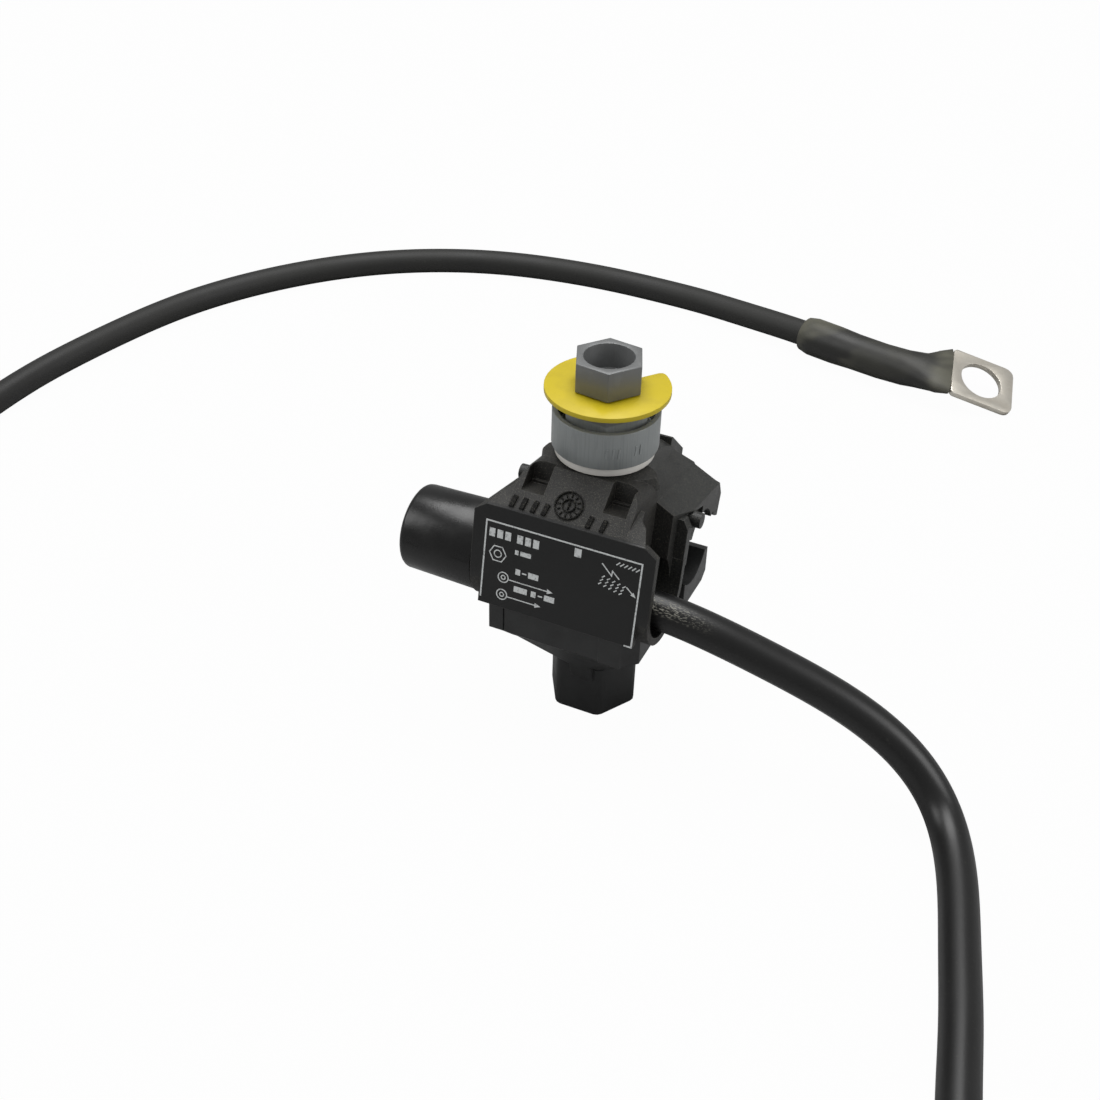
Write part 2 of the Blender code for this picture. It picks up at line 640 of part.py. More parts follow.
def upper_blade_outline(grow: float = 0.0) -> list:
    """Side outline of an upper blade in the jaw's frame, optionally grown for its slot."""
    tap_root = UPPER_TAP_TIP_Z + TAP_TOOTH_HEIGHT * 0.7
    main_root = UPPER_MAIN_TIP_Z + MAIN_TOOTH_HEIGHT
    tap_half = TAP_TEETH * TOOTH_PITCH / 2
    main_half = MAIN_TEETH * TOOTH_PITCH / 2
    if grow > 0.0:
        tap = [
            (TAP_Y - tap_half - grow, UPPER_TAP_TIP_Z - grow),
            (TAP_Y + tap_half + grow, UPPER_TAP_TIP_Z - grow),
        ]
        main = [
            (UPPER_MAIN_Y - main_half - grow, UPPER_MAIN_TIP_Z - grow),
            (UPPER_MAIN_Y + main_half + grow, UPPER_MAIN_TIP_Z - grow),
        ]
    else:
        tap = teeth(TAP_Y, UPPER_TAP_TIP_Z, tap_root, TAP_TEETH)
        main = teeth(UPPER_MAIN_Y, UPPER_MAIN_TIP_Z, main_root, MAIN_TEETH)
    web_low = UPPER_TAP_TIP_Z + BLADE_WEB * 0.6
    web_high = web_low + BLADE_WEB
    lift = UPPER_MAIN_Y - main_half - BLADE_CLEARANCE * 2
    lower = [
        (TAP_Y + tap_half + BLADE_WEB / 2, web_low - grow), (0.0, web_low - grow),
        (lift, main_root + BLADE_WEB / 3 - grow),
    ]
    upper = [
        (UPPER_MAIN_Y + main_half + grow, UPPER_BLADE_TOP_Z + grow),
        (lift - BLADE_WEB, UPPER_BLADE_TOP_Z + grow),
        (-BLADE_WEB / 2, web_high + grow), (TAP_Y - tap_half - grow, web_high + grow),
    ]
    return tap + lower + main + upper


def blade_prism(outline: list, side: float, grow: float = 0.0):
    """Plate of a blade on the left (-1) or right (+1) of the bolt."""
    inner = BLADE_FROM_X - grow
    outer = BLADE_FROM_X + BLADE_THICKNESS + grow
    return prism(outline, "X", min(side * inner, side * outer), max(side * inner, side * outer))


def make_blades(material, pivot) -> None:
    """Two blades in each jaw, which bite the tap cable and the main conductor."""
    for side, word in ((-1.0, "left"), (1.0, "right")):
        finish(blade_prism(lower_blade_outline(), side), f"lower_blade_{word}", material)
        finish(blade_prism(upper_blade_outline(), side), f"upper_blade_{word}", material, pivot)


def make_seal(
    name: str, centre: tuple, groove: float, middle: float, sweep: float, window: tuple, material, parent=None
):
    """Curved seal that lines a groove, with a window where each blade comes through."""
    outer = groove - GAP
    outline = ring_sector(centre, outer - SEAL_WALL, outer, middle - sweep / 2, sweep, 12)
    seal = prism(outline, "X", -SEAL_HALF, SEAL_HALF)
    for side in (-1.0, 1.0):
        near = BLADE_FROM_X - BLADE_CLEARANCE
        far = BLADE_FROM_X + BLADE_THICKNESS + BLADE_CLEARANCE
        low_x, high_x = min(side * near, side * far), max(side * near, side * far)
        cut(seal, block((low_x, window[0], centre[1] - groove), (high_x, window[1], centre[1] + groove)))
    finish(seal, name, material, parent)


def make_seals(material, pivot) -> None:
    """The four seals: tap and main, in the lower and upper jaw."""
    tap_half = TAP_TEETH * TOOTH_PITCH / 2 + BLADE_CLEARANCE
    main_half = MAIN_TEETH * TOOTH_PITCH / 2 + BLADE_CLEARANCE
    tap_window = (TAP_Y - tap_half, TAP_Y + tap_half)
    down, up = -math.pi / 2, math.pi / 2
    make_seal("lower_tap_seal", (TAP_Y, TAP_Z), TAP_GROOVE_R, down, SEAL_SWEEP, tap_window, material)
    make_seal("lower_main_seal", (MAIN_Y, MAIN_Z), MAIN_GROOVE_R, down, MAIN_SEAL_SWEEP,
              (MAIN_Y - main_half, MAIN_Y + main_half), material)
    make_seal("upper_tap_seal", upper_tap_centre(), TAP_GROOVE_R, up, SEAL_SWEEP, tap_window, material, pivot)
    make_seal("upper_main_seal", (UPPER_MAIN_Y, UPPER_MAIN_Z), MAIN_GROOVE_R, up, MAIN_SEAL_SWEEP,
              (UPPER_MAIN_Y - main_half, UPPER_MAIN_Y + main_half), material, pivot)


def upper_tap_centre() -> tuple:
    """Centre of the upper tap groove, which meets the cable when the jaws are down."""
    return (TAP_Y, TAP_Z - JAW_PIVOT_Z + TAP_TRAVEL)


def main_groove_arc(steps: int) -> list:
    """Roof of the upper main groove, from the lip side to the wall side."""
    start = math.radians(18.2)
    return arc((UPPER_MAIN_Y, UPPER_MAIN_Z), MAIN_GROOVE_R, start, math.radians(151.8), steps)


def rear_profile() -> list:
    """Side profile of the upper jaw behind the bolt, with its hooked lip."""
    wall_foot = CORNER_BACK_Y - GAP * 7
    return [
        (WALL_Y, WALL_BOTTOM_Z), (WALL_Y, SHOULDER_TOP_Z), (TOWER_FRONT_Y, ROOF_Z),
        (TOWER_BACK_Y, SHOULDER_BACK_Z), (TOWER_BACK_Y + GAP, SHOULDER_BACK_Z - BLADE_WEB),
        (UPPER_LIP_Y, UPPER_LIP_Z), (UPPER_LIP_Y - LIP_SLANT, UPPER_LIP_Z - LIP_HEIGHT),
        (UPPER_LIP_Y - LIP_WIDTH, UPPER_LIP_Z - LIP_HEIGHT + LIP_SLANT),
    ] + main_groove_arc(16) + [(wall_foot, WALL_BOTTOM_Z)]


def front_profile() -> list:
    """Side profile of the upper jaw's core in front of and round the bolt."""
    return [
        (PLATE_Y, CORE_BOTTOM_Z), (PLATE_Y, SLOPE_FOOT_Z), (SLOPE_TOP_Y, ROOF_Z), (TOWER_FRONT_Y, ROOF_Z),
        (TOWER_FRONT_Y, UPPER_MAIN_Z + MAIN_GROOVE_R + GROOVE_ROOF), (CORNER_BACK_Y, STUD_Z),
        (CORNER_BACK_Y - GAP, CORE_BOTTOM_Z + GROOVE_ROOF), (WALL_Y, CORE_BOTTOM_Z + GROOVE_ROOF),
        (WALL_Y, CORE_BOTTOM_Z),
    ]


def shoulder_trim(side: float):
    """Cutter that leaves the sloping flank and the shoulder on one side."""
    reach = 2 * FLANK_HALF
    far_z = FLANK_TOP_Z - FLANK_FALL * (reach - CORE_HALF)
    outline = [
        (side * CORE_HALF, FLANK_TOP_Z), (side * reach, far_z), (side * reach, 2 * ROOF_Z),
        (side * TOWER_HALF, 2 * ROOF_Z), (side * TOWER_HALF, TOWER_FRONT_Z),
        (side * SHOULDER_TOP_HALF, SHOULDER_TOP_Z),
    ]
    return prism(outline, "Y", WALL_Y - GAP, 2 * UPPER_LIP_Y)


def corner_trim(side: float):
    """Cutter that leaves the slanted end face at a front corner of the flank."""
    outline = [
        (side * FLANK_FRONT_HALF, WALL_Y), (side * FLANK_HALF, CORNER_BACK_Y),
        (side * 2 * FLANK_HALF, CORNER_BACK_Y),
        (side * 2 * FLANK_HALF, 2 * WALL_Y), (side * FLANK_FRONT_HALF, 2 * WALL_Y),
    ]
    return prism(outline, "Z", 2 * WALL_BOTTOM_Z, 2 * ROOF_Z)


def core_edge_trim(side: float):
    """Cutter that rounds the long upper edge of the core beside the slope."""
    centre = (CORE_HALF - CORE_EDGE_R, ROOF_Z - CORE_EDGE_R)
    rounded = arc(centre, CORE_EDGE_R, 0.0, math.pi / 2, 6)
    outline = rounded + [(centre[0], 2 * ROOF_Z), (2 * CORE_HALF, 2 * ROOF_Z), (2 * CORE_HALF, centre[1])]
    return prism([(side * x, z) for x, z in outline], "Y", CORE_FRONT_Y, WALL_Y)


def seat_edge_trim(side: float):
    """Cutter that rounds the washer seat down to the core's side."""
    centre = (CORE_HALF - SEAT_EDGE_R, ROOF_Z - SEAT_EDGE_R / 2)
    rounded = arc(centre, SEAT_EDGE_R, 0.0, SEAT_EDGE_TURN, 6)
    far = 2 * CORE_HALF
    outline = rounded + [(rounded[-1][0], 2 * ROOF_Z), (far, 2 * ROOF_Z), (far, centre[1])]
    return prism([(side * x, z) for x, z in outline], "Y", -ROOF_Z, ROOF_Z)


def slope_height(along_y: float) -> float:
    """Height of the front slope at a place in front of the bolt."""
    share = (along_y - PLATE_Y) / (SLOPE_TOP_Y - PLATE_Y)
    return SLOPE_FOOT_Z + (ROOF_Z - SLOPE_FOOT_Z) * share


def front_body():
    """Slope, roof and core in front of the bolt, cut back beside the slope."""
    body = prism(front_profile(), "X", -CORE_HALF, CORE_HALF)
    inner_y = PLATE_Y + PLATE_THICKNESS
    foot = [(x, y, z) for x in (-SLOPE_HALF, SLOPE_HALF) for y, z in (
        (PLATE_Y, SLOPE_FOOT_Z), (PLATE_Y, CORE_BOTTOM_Z), (inner_y, CORE_BOTTOM_Z))]
    knee = [(x, y, z) for x in (GAP - CORE_HALF, CORE_HALF - GAP) for y, z in (
        (SLOPE_KNEE_Y, slope_height(SLOPE_KNEE_Y) - GAP / 5), (CORE_FRONT_Y, CORE_BOTTOM_Z))]
    crest = [(x, SLOPE_TOP_Y, z) for x in (-SLOPE_SIDE_HALF, SLOPE_SIDE_HALF) for z in (
        ROOF_Z - SLOPE_SIDE_DROP, CORE_BOTTOM_Z)]
    join(body, hull(foot + knee + crest))
    side_cut = [
        (PLATE_HALF, PLATE_Y + GAP * 2), (SLOPE_SIDE_HALF, SLOPE_SIDE_Y), (CORE_HALF, SLOPE_SIDE_BACK_Y),
        (CORE_HALF, WALL_Y),
        (2 * PLATE_HALF, WALL_Y), (2 * PLATE_HALF, PLATE_Y + GAP * 2),
    ]
    for side in (-1.0, 1.0):
        cut(body, prism([(side * x, y) for x, y in side_cut], "Z", -ROOF_Z, 2 * ROOF_Z))
        cut(body, core_edge_trim(side))
    return body


def left_hip():
    """Closed roof over the left collar, between the slope and the rear wall."""
    front = PLATE_Y
    half = PLATE_HALF
    ring_top = COLLAR_Z + COLLAR_R
    inner = GAP - CORE_HALF
    rear = WALL_Y - GAP * 4
    return hull([
        (-half, front, COLLAR_Z), (-half, front, PLATE_CORNER_Z), (-SLOPE_HALF, front, SLOPE_FOOT_Z),
        (inner, SLOPE_KNEE_Y, slope_height(SLOPE_KNEE_Y) - GAP / 3), (inner, HIP_BACK_Y, HIP_BACK_Z),
        (-SLOPE_SIDE_HALF, SLOPE_TOP_Y, HIP_BACK_Z + HIP_RISE), (-half, COLLAR_Y, ring_top + HIP_RISE),
        (-half, rear, ring_top - HIP_FALL),
        (-half, rear, COLLAR_Z), (inner, WALL_Y + GAP, COLLAR_Z), (inner, front + GAP, COLLAR_Z),
        (inner, WALL_Y + GAP, HIP_BACK_Z - HIP_FALL),
    ])


def collar(side: float):
    """Ring (left) or open gutter (right) that the tap cable passes through."""
    inner = COLLAR_R - COLLAR_WALL
    near, far = PLATE_HALF - COLLAR_WIDTH, PLATE_HALF
    low_x, high_x = min(side * near, side * far), max(side * near, side * far)
    ring = prism(circle((COLLAR_Y, COLLAR_Z), COLLAR_R), "X", low_x, high_x)
    if side > 0.0:
        leg = block((low_x, COLLAR_Y + inner, COLLAR_Z), (high_x, COLLAR_Y + COLLAR_R, GUTTER_LEG_TOP_Z))
        cut(ring, block((0.0, COLLAR_Y - inner, COLLAR_Z), (2 * far, COLLAR_Y + 2 * COLLAR_R, 2 * COLLAR_R)))
        join(ring, leg)
    return ring


def seat_dome():
    """Ball-shaped seat on the roof, rounded off at both sides."""
    base = math.sqrt(SEAT_R ** 2 - ROOF_Z ** 2)
    raised = ball_arc(SEAT_R, 0.0, base, 6)
    profile = [(radius, height - JAW_PIVOT_Z) for radius, height in raised] + [
        (base, ROOF_Z - BLADE_WEB), (0.0, ROOF_Z - BLADE_WEB),
    ]
    dome = turned(profile)
    cut(dome, seat_edge_trim(-1.0), seat_edge_trim(1.0))
    return dome


def tower():
    """Raised block behind the seat."""
    outline = [
        (TOWER_FRONT_Y - 2 * GAP, ROOF_Z - BLADE_WEB), (TOWER_FRONT_Y - 2 * GAP, TOWER_FRONT_Z),
        (TOWER_FRONT_Y, TOWER_FRONT_Z), (TOWER_BACK_Y, TOWER_BACK_Z),
        (TOWER_BACK_Y + GAP / 3, SHOULDER_BACK_Z - BLADE_WEB / 2),
        (TOWER_FRONT_Y, SHOULDER_BACK_Z - BLADE_WEB),
    ]
    return prism(outline, "X", -TOWER_HALF, TOWER_HALF)


def bolt_slot():
    """Slot that lets the upright bolt pass while the jaw rocks."""
    radius = BOLT_R + BOLT_CLEARANCE
    top = SEAT_R + GAP
    lean = -top * math.tan(JAW_TILT)
    upper = circle((0.0, 0.0), radius, SMALL_ROUND_SIDES) + circle((0.0, lean), radius, SMALL_ROUND_SIDES)
    lower = circle((0.0, 0.0), radius, SMALL_ROUND_SIDES)
    return hull(at_height(upper, top) + at_height(lower, -BLADE_WEB))


def pocket(side: float) -> tuple:
    """Two cutters of a stepped pocket in the front slope."""
    near, far = min(side * POCKET_FROM_X, side * POCKET_TO_X), max(side * POCKET_FROM_X, side * POCKET_TO_X)
    deep = block((near, POCKET_FRONT_Y, POCKET_FLOOR_Z), (far, POCKET_STEP_Y, 2 * ROOF_Z))
    step = block((near, POCKET_STEP_Y - GAP, POCKET_STEP_Z), (far, POCKET_BACK_Y, 2 * ROOF_Z))
    return deep, step


def stud_recess(side: float):
    """Cutter of the shallow recess round the stud on an end face."""
    front, back = STUD_Y - RECESS_HALF_Y * 0.8, STUD_Y + RECESS_HALF_Y
    outline = [
        (front, RECESS_TOP_Z), (STUD_Y, RECESS_TOP_Z - RECESS_DROP), (back, RECESS_TOP_Z - RECESS_DROP),
        (back, RECESS_TOP_Z - RECESS_DROP / 3), (front + RECESS_DEPTH, RECESS_TOP_Z + RECESS_DEPTH / 4),
    ]
    ends = (side * (FLANK_HALF - RECESS_DEPTH), side * 2 * FLANK_HALF)
    return prism(outline, "X", min(ends), max(ends))


def groove_flange(side: float):
    """Flange that narrows one end of the upper main groove."""
    centre = (UPPER_MAIN_Y, UPPER_MAIN_Z)
    inner, outer = MAIN_GROOVE_R - FLANGE_DEPTH, MAIN_GROOVE_R + GAP
    outline = ring_sector(centre, inner, outer, FLANGE_FROM, FLANGE_SWEEP, 14)
    ends = (side * (FLANK_HALF - FLANGE_WIDTH), side * FLANK_HALF)
    return prism(outline, "X", min(ends), max(ends))


def plate_outline() -> list:
    """Outline of the label plate: its ends stop at the collars' middle height."""
    inner = PLATE_HALF - COLLAR_WIDTH + GAP
    right = [
        (inner, PLATE_BOTTOM_Z), (inner, COLLAR_Z), (PLATE_HALF, COLLAR_Z), (PLATE_HALF, PLATE_CORNER_Z),
        (SLOPE_HALF, SLOPE_FOOT_Z),
    ]
    return right + [(-x, z) for x, z in reversed(right)]


def make_upper_housing(material, pivot):
    """Upper jaw: label plate, slope, washer seat, collars, flanks and hooked rear jaw."""
    housing = prism(rear_profile(), "X", -FLANK_HALF, FLANK_HALF)
    room = (-CORE_HALF, WALL_Y - GAP, 2 * WALL_BOTTOM_Z)
    cut(housing, block(room, (CORE_HALF, CORNER_BACK_Y + GAP, CORE_BOTTOM_Z + GROOVE_ROOF)))
    join(housing, front_body())
    join(housing, seat_dome())
    for side in (-1.0, 1.0):
        cut(housing, shoulder_trim(side), corner_trim(side))
    join(housing, tower())
    join(housing, left_hip())
    join(housing, prism(plate_outline(), "Y", PLATE_Y, PLATE_Y + PLATE_THICKNESS))
    join(housing, collar(-1.0), collar(1.0))
    cut_reach = PLATE_HALF + GAP
    inner = COLLAR_R - COLLAR_WALL
    cut(housing, prism(circle((COLLAR_Y, COLLAR_Z), inner), "X", -cut_reach, -CORE_HALF))
    cut(housing, prism(circle((COLLAR_Y, COLLAR_Z), inner), "X", CORE_HALF, cut_reach))
    cut(housing, prism(circle(upper_tap_centre(), TAP_GROOVE_R, 32), "X", -CORE_HALF - GAP, CORE_HALF + GAP))
    cut(housing, bolt_slot())
    for side in (-1.0, 1.0):
        cut(housing, *pocket(side))
        cut(housing, blade_prism(upper_blade_outline(BLADE_CLEARANCE), side, BLADE_CLEARANCE))
        join(housing, groove_flange(side))
        cut(housing, stud_recess(side))
        stud_from = side * (FLANK_HALF - STUD_LENGTH)
        stud_to = side * (FLANK_HALF + STUD_LENGTH)
        join(housing, prism(
            circle((STUD_Y, STUD_Z), STUD_R, 12), "X", min(stud_from, stud_to), max(stud_from, stud_to)))
    return finish(housing, "upper_housing", material, pivot)


def make_end_cap(material, pivot) -> None:
    """Blind cap pushed into the left collar, hollow for the cable's end."""
    length = CAP_LENGTH
    spigot_r = COLLAR_R - COLLAR_WALL - GAP
    bore_end = length - CAP_END_WALL
    edge = arc((CAP_TIP_R - CAP_EDGE_R, length - CAP_EDGE_R), CAP_EDGE_R, 0.0, math.pi / 2, 4)
    profile = [
        (0.0, bore_end), (CAP_BORE_R, bore_end), (CAP_BORE_R, -CAP_SPIGOT_LENGTH),
        (spigot_r, -CAP_SPIGOT_LENGTH),
        (spigot_r, 0.0), (CAP_R, 0.0),
    ] + edge + [(0.0, length)]
    cap = turned(profile)
    for vertex in cap.data.vertices:
        x, y, z = vertex.co
        vertex.co = (-z, y, x)
    finish(cap, "end_cap", material, pivot)
    cap.location = (-PLATE_HALF - GAP, COLLAR_Y, COLLAR_Z)


def smooth_route(points: tuple, spacing: float) -> list:
    """Evenly spaced points on a smooth curve through the route's points."""
    anchors = [Vector(point) for point in points]
    anchors = [2 * anchors[0] - anchors[1]] + anchors + [2 * anchors[-1] - anchors[-2]]
    fine = []
    for before, start, end, after in zip(anchors, anchors[1:], anchors[2:], anchors[3:]):
        length = (end - start).length
        leave = (end - before) * length / ((start - before).length + length)
        arrive = (after - start) * length / ((after - end).length + length)
        for step in range(20):
            t = step / 20
            fine.append(
                start * (2 * t ** 3 - 3 * t ** 2 + 1) + leave * (t ** 3 - 2 * t ** 2 + t)
                + end * (3 * t ** 2 - 2 * t ** 3) + arrive * (t ** 3 - t ** 2))
    fine.append(anchors[-2])
    travelled = [0.0]
    for start, end in zip(fine, fine[1:]):
        travelled.append(travelled[-1] + (end - start).length)
    count = round(travelled[-1] / spacing)
    result = []
    index = 0
    for step in range(count + 1):
        target = travelled[-1] * step / count
        while index < len(fine) - 2 and travelled[index + 1] < target:
            index += 1
        share = (target - travelled[index]) / (travelled[index + 1] - travelled[index])
        result.append(fine[index].lerp(fine[index + 1], share))
    return result


def make_cable(material) -> None:
    """Insulated tap cable as a plain tube."""
    route = smooth_route(CABLE_ROUTE, CABLE_POINT_SPACING)
    curve = bpy.data.curves.new("tail_cable", "CURVE")
    curve.dimensions = "3D"
    curve.bevel_depth = CABLE_R
    curve.bevel_resolution = 3
    curve.use_fill_caps = True
    spline = curve.splines.new("POLY")
    spline.points.add(len(route) - 1)
    for spline_point, position in zip(spline.points, route):
        spline_point.co = (*position, 1.0)
    curve.materials.append(material)
    bpy.context.scene.collection.objects.link(bpy.data.objects.new("tail_cable", curve))


def lug_axes() -> tuple:
    """Unit vectors of the lug's palm: along, across and up."""
    along = LUG_ALONG
    across = Vector((-0.201, 0.940, 0.276))
    across = (across - along * across.dot(along)).normalized()
    return along, across, along.cross(across)


def oval_ring(centre: Vector, along: Vector, half_width: float, half_height: float, across: Vector) -> list:
    """Oval section square to a direction."""
    side = (across - along * across.dot(along)).normalized()
    up = along.cross(side)
    return [centre + side * u + up * v for u, v in (
        (half_width * math.cos(a), half_height * math.sin(a))
        for a in (2 * math.pi * step / SMALL_ROUND_SIDES for step in range(SMALL_ROUND_SIDES)))]


def sleeve_rings(shrink: float, overrun: float = 0.0) -> list:
    """Rings along the sleeve, drawn in by an amount, that run past its ends."""
    along, across, _ = lug_axes()
    flat = Vector((-along.y, along.x, 0.0)).normalized()
    sections = SLEEVE_SECTIONS
    rings = []
    for index, (centre, half_width, half_height) in enumerate(sections):
        before = Vector(sections[max(index - 1, 0)][0])
        after = Vector(sections[min(index + 1, len(sections) - 1)][0])
        direction = (after - before).normalized()
        share = index / (len(sections) - 1)
        side = flat.lerp(across, share)
        sizes = (half_width - shrink, half_height - shrink)
        if overrun > 0.0 and index == 0:
            rings.append(oval_ring(Vector(centre) - direction * overrun, direction, *sizes, side))
        if index == len(sections) - 1:
            direction = along
        rings.append(oval_ring(Vector(centre), direction, *sizes, side))
    if overrun > 0.0:
        rings.append([point + along * overrun for point in rings[-1]])
    return rings


def make_lug(material) -> None:
    """Ring lug: round barrel in the sleeve, pressed flat into a palm with a hole."""
    along, across, up = lug_axes()
    half = LUG_THICKNESS / 2
    inner = SLEEVE_WALL + GAP
    lug = loft(sleeve_rings(inner)[BARREL_FIRST_SECTION:])
    nose = LUG_NOSE
    width = LUG_HALF_WIDTH
    corner = LUG_CORNER
    shoulder = LUG_SHOULDER_HALF
    tongue = LUG_SHOULDER_HALF / 2
    half_outline = [
        (-LUG_NECK - corner / 2, tongue), (-LUG_NECK, tongue), (-LUG_NECK, shoulder),
        (-LUG_NECK + inner, width),
    ]
    outline = [(u, -v) for u, v in half_outline]
    outline += arc((nose - corner, corner - width), corner, -math.pi / 2, math.pi / 2, 4)
    outline += arc((nose - corner, width - corner), corner, 0.0, math.pi / 2, 4)
    outline += half_outline[::-1]
    palm = prism(outline, "Z", -half, half)
    cut(palm, prism(circle((0.0, 0.0), LUG_HOLE_R, 32), "Z", -LUG_THICKNESS, LUG_THICKNESS))
    for vertex in palm.data.vertices:
        u, v, w = vertex.co
        vertex.co = LUG_HOLE_CENTRE + along * u + across * v + up * w
    join(lug, palm)
    finish(lug, "ring_lug", material)


def make_sleeve(material) -> None:
    """Shrunk sleeve over the cable's end and the lug's barrel."""
    sleeve = loft(sleeve_rings(0.0))
    cut(sleeve, loft(sleeve_rings(SLEEVE_WALL, 2 * SLEEVE_WALL)))
    finish(sleeve, "tail_sleeve", material)


def build() -> None:
    """Make every piece."""
    remove_everything()
    moulded = make_material("moulded_black", (0.030, 0.030, 0.028), 0.55)
    rubber = make_material("seal_rubber", (0.020, 0.020, 0.020), 0.85)
    cap_rubber = make_material("cap_rubber", (0.012, 0.012, 0.012), 0.40)
    jacket = make_material("cable_jacket", (0.014, 0.014, 0.014), 0.38)
    shrink = make_material("shrink_sleeve", (0.035, 0.036, 0.030), 0.60)
    zinc = make_material("cast_zinc", (0.140, 0.150, 0.160), 0.45, 0.8)
    steel = make_material("plated_steel", (0.500, 0.480, 0.440), 0.35, 1.0)
    copper = make_material("tinned_copper", (0.550, 0.530, 0.490), 0.40, 1.0)
    yellow = make_material("clip_yellow", (0.700, 0.560, 0.010), 0.45)
    pivot = bpy.data.objects.new("jaw_pivot", None)
    pivot.location = (0.0, 0.0, JAW_PIVOT_Z)
    pivot.rotation_euler = (-JAW_TILT, 0.0, 0.0)
    bpy.context.scene.collection.objects.link(pivot)
    make_bolt(steel)
    make_nut(steel)
    make_washer(steel)
    make_head(zinc)
    make_clip(yellow)
    make_lower_housing(moulded)
    make_upper_housing(moulded, pivot)
    make_blades(copper, pivot)
    make_seals(rubber, pivot)
    make_end_cap(cap_rubber, pivot)
    make_cable(jacket)
    make_lug(copper)
    make_sleeve(shrink)


build()
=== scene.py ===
"""Looks of an insulation-piercing service connector with its tap cable and ring lug.

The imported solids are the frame. Each sub-assembly dresses its own solids, adds the
print, the marks and the thread, and all lengths are in metres.
"""
from __future__ import annotations

import json
import logging
import math
from abc import ABC, abstractmethod
from dataclasses import dataclass, field
from enum import Enum
from typing import Sequence, Union

import bmesh
import bpy
from mathutils import Matrix, Vector
from mathutils.bvhtree import BVHTree

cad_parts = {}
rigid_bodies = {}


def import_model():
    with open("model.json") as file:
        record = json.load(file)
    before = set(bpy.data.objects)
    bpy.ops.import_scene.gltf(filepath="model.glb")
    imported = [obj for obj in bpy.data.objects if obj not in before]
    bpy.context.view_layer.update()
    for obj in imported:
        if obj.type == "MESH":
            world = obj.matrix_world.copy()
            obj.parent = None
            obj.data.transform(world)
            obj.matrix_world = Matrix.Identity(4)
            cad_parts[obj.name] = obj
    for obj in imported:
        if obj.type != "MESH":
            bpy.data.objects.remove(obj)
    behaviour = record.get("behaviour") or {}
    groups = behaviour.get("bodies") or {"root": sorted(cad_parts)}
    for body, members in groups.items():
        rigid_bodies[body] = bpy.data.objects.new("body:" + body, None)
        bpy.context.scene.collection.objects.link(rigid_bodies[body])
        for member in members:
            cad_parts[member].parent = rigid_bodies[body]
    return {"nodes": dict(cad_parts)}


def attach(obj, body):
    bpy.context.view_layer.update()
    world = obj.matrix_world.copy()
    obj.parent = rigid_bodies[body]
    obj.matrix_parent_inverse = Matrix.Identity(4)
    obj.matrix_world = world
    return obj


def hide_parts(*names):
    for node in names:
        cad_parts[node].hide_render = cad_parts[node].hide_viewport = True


log = logging.getLogger("service_connector")
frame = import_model()

Point = Sequence[float]
Colour = tuple[float, float, float]
MM = 0.001
EVEN = 0.5  # the middle level of a noise pattern
EDGE_LEVELS = (0.02, 0.25)  # where the mask of the lighter edges starts and is full; they are partly wear and partly a painted highlight
CREASE_DEG = 30.0  # faces that meet at more than this keep a sharp edge
GROWN_CREASE_DEG = 40.0  # the same, for the pieces that Geometry Nodes grow
MERGE_DISTANCE = 0.004 * MM  # points of a solid that are nearer than this become one
FLAT_DEG = 0.5  # facets that meet at less than this become one


class Body(Enum):
    """The connector's moving bodies."""

    LOWER_JAW = "lower_jaw"
    PRESS = "press"
    BOLT = "bolt"
    UPPER_JAW = "upper_jaw"
    CAP = "cap"


class Slot(Enum):
    """The record's material slots."""

    MOULDED = "moulded_black"
    SEAL = "seal_rubber"
    CAP = "cap_rubber"
    JACKET = "cable_jacket"
    SLEEVE = "shrink_sleeve"
    ZINC = "cast_zinc"
    STEEL = "plated_steel"
    TINNED = "tinned_copper"
    CLIP = "clip_yellow"


def linear(red: float, green: float, blue: float) -> Colour:
    """Turns a colour of 0 to 255 into the linear values that shaders take.

    Args:
        red: The red part, 0 to 255.
        green: The green part, 0 to 255.
        blue: The blue part, 0 to 255.

    Returns:
        The linear colour.
    """

    def one(level: float) -> float:
        """Returns one channel in linear light."""
        share = level / 255
        return share / 12.92 if share <= 0.04045 else ((share + 0.055) / 1.055) ** 2.4

    return one(red), one(green), one(blue)


# ---- shader graph


class Num:
    """A number socket of a finish that takes Python's arithmetic."""

    def __init__(self, graph: FinishGraph, socket: bpy.types.NodeSocket) -> None:
        """Wraps one socket."""
        self.graph = graph
        self.socket = socket

    def _math(self, operation: str, *values: Value) -> Num:
        """Adds one Math node."""
        node = self.graph.node("ShaderNodeMath", {"operation": operation}, dict(enumerate(values)))
        return Num(self.graph, node.outputs[0])

    def __add__(self, other: Value) -> Num:
        """Adds."""
        return self._math("ADD", self, other)

    def __radd__(self, other: Value) -> Num:
        """Adds, with the number on the left."""
        return self._math("ADD", other, self)

    def __sub__(self, other: Value) -> Num:
        """Takes away."""
        return self._math("SUBTRACT", self, other)

    def __rsub__(self, other: Value) -> Num:
        """Takes away, with the number on the left."""
        return self._math("SUBTRACT", other, self)

    def __mul__(self, other: Value) -> Num:
        """Multiplies."""
        return self._math("MULTIPLY", self, other)

    def rise(self, low: float, high: float) -> Num:
        """Gives a smooth step.

        Args:
            low: The value where the step is 0.
            high: The value where it is 1, which may be below low.

        Returns:
            The step, 0 to 1.
        """
        flipped = high < low
        ends = (high, low) if flipped else (low, high)
        node = self.graph.node(
            "ShaderNodeMapRange",
            {"interpolation_type": "SMOOTHSTEP"},
            {0: self, 1: ends[0], 2: ends[1], 3: float(flipped), 4: float(not flipped)},
        )
        return Num(self.graph, node.outputs[0])


Value = Union[Num, bpy.types.NodeSocket, float, Sequence[float]]


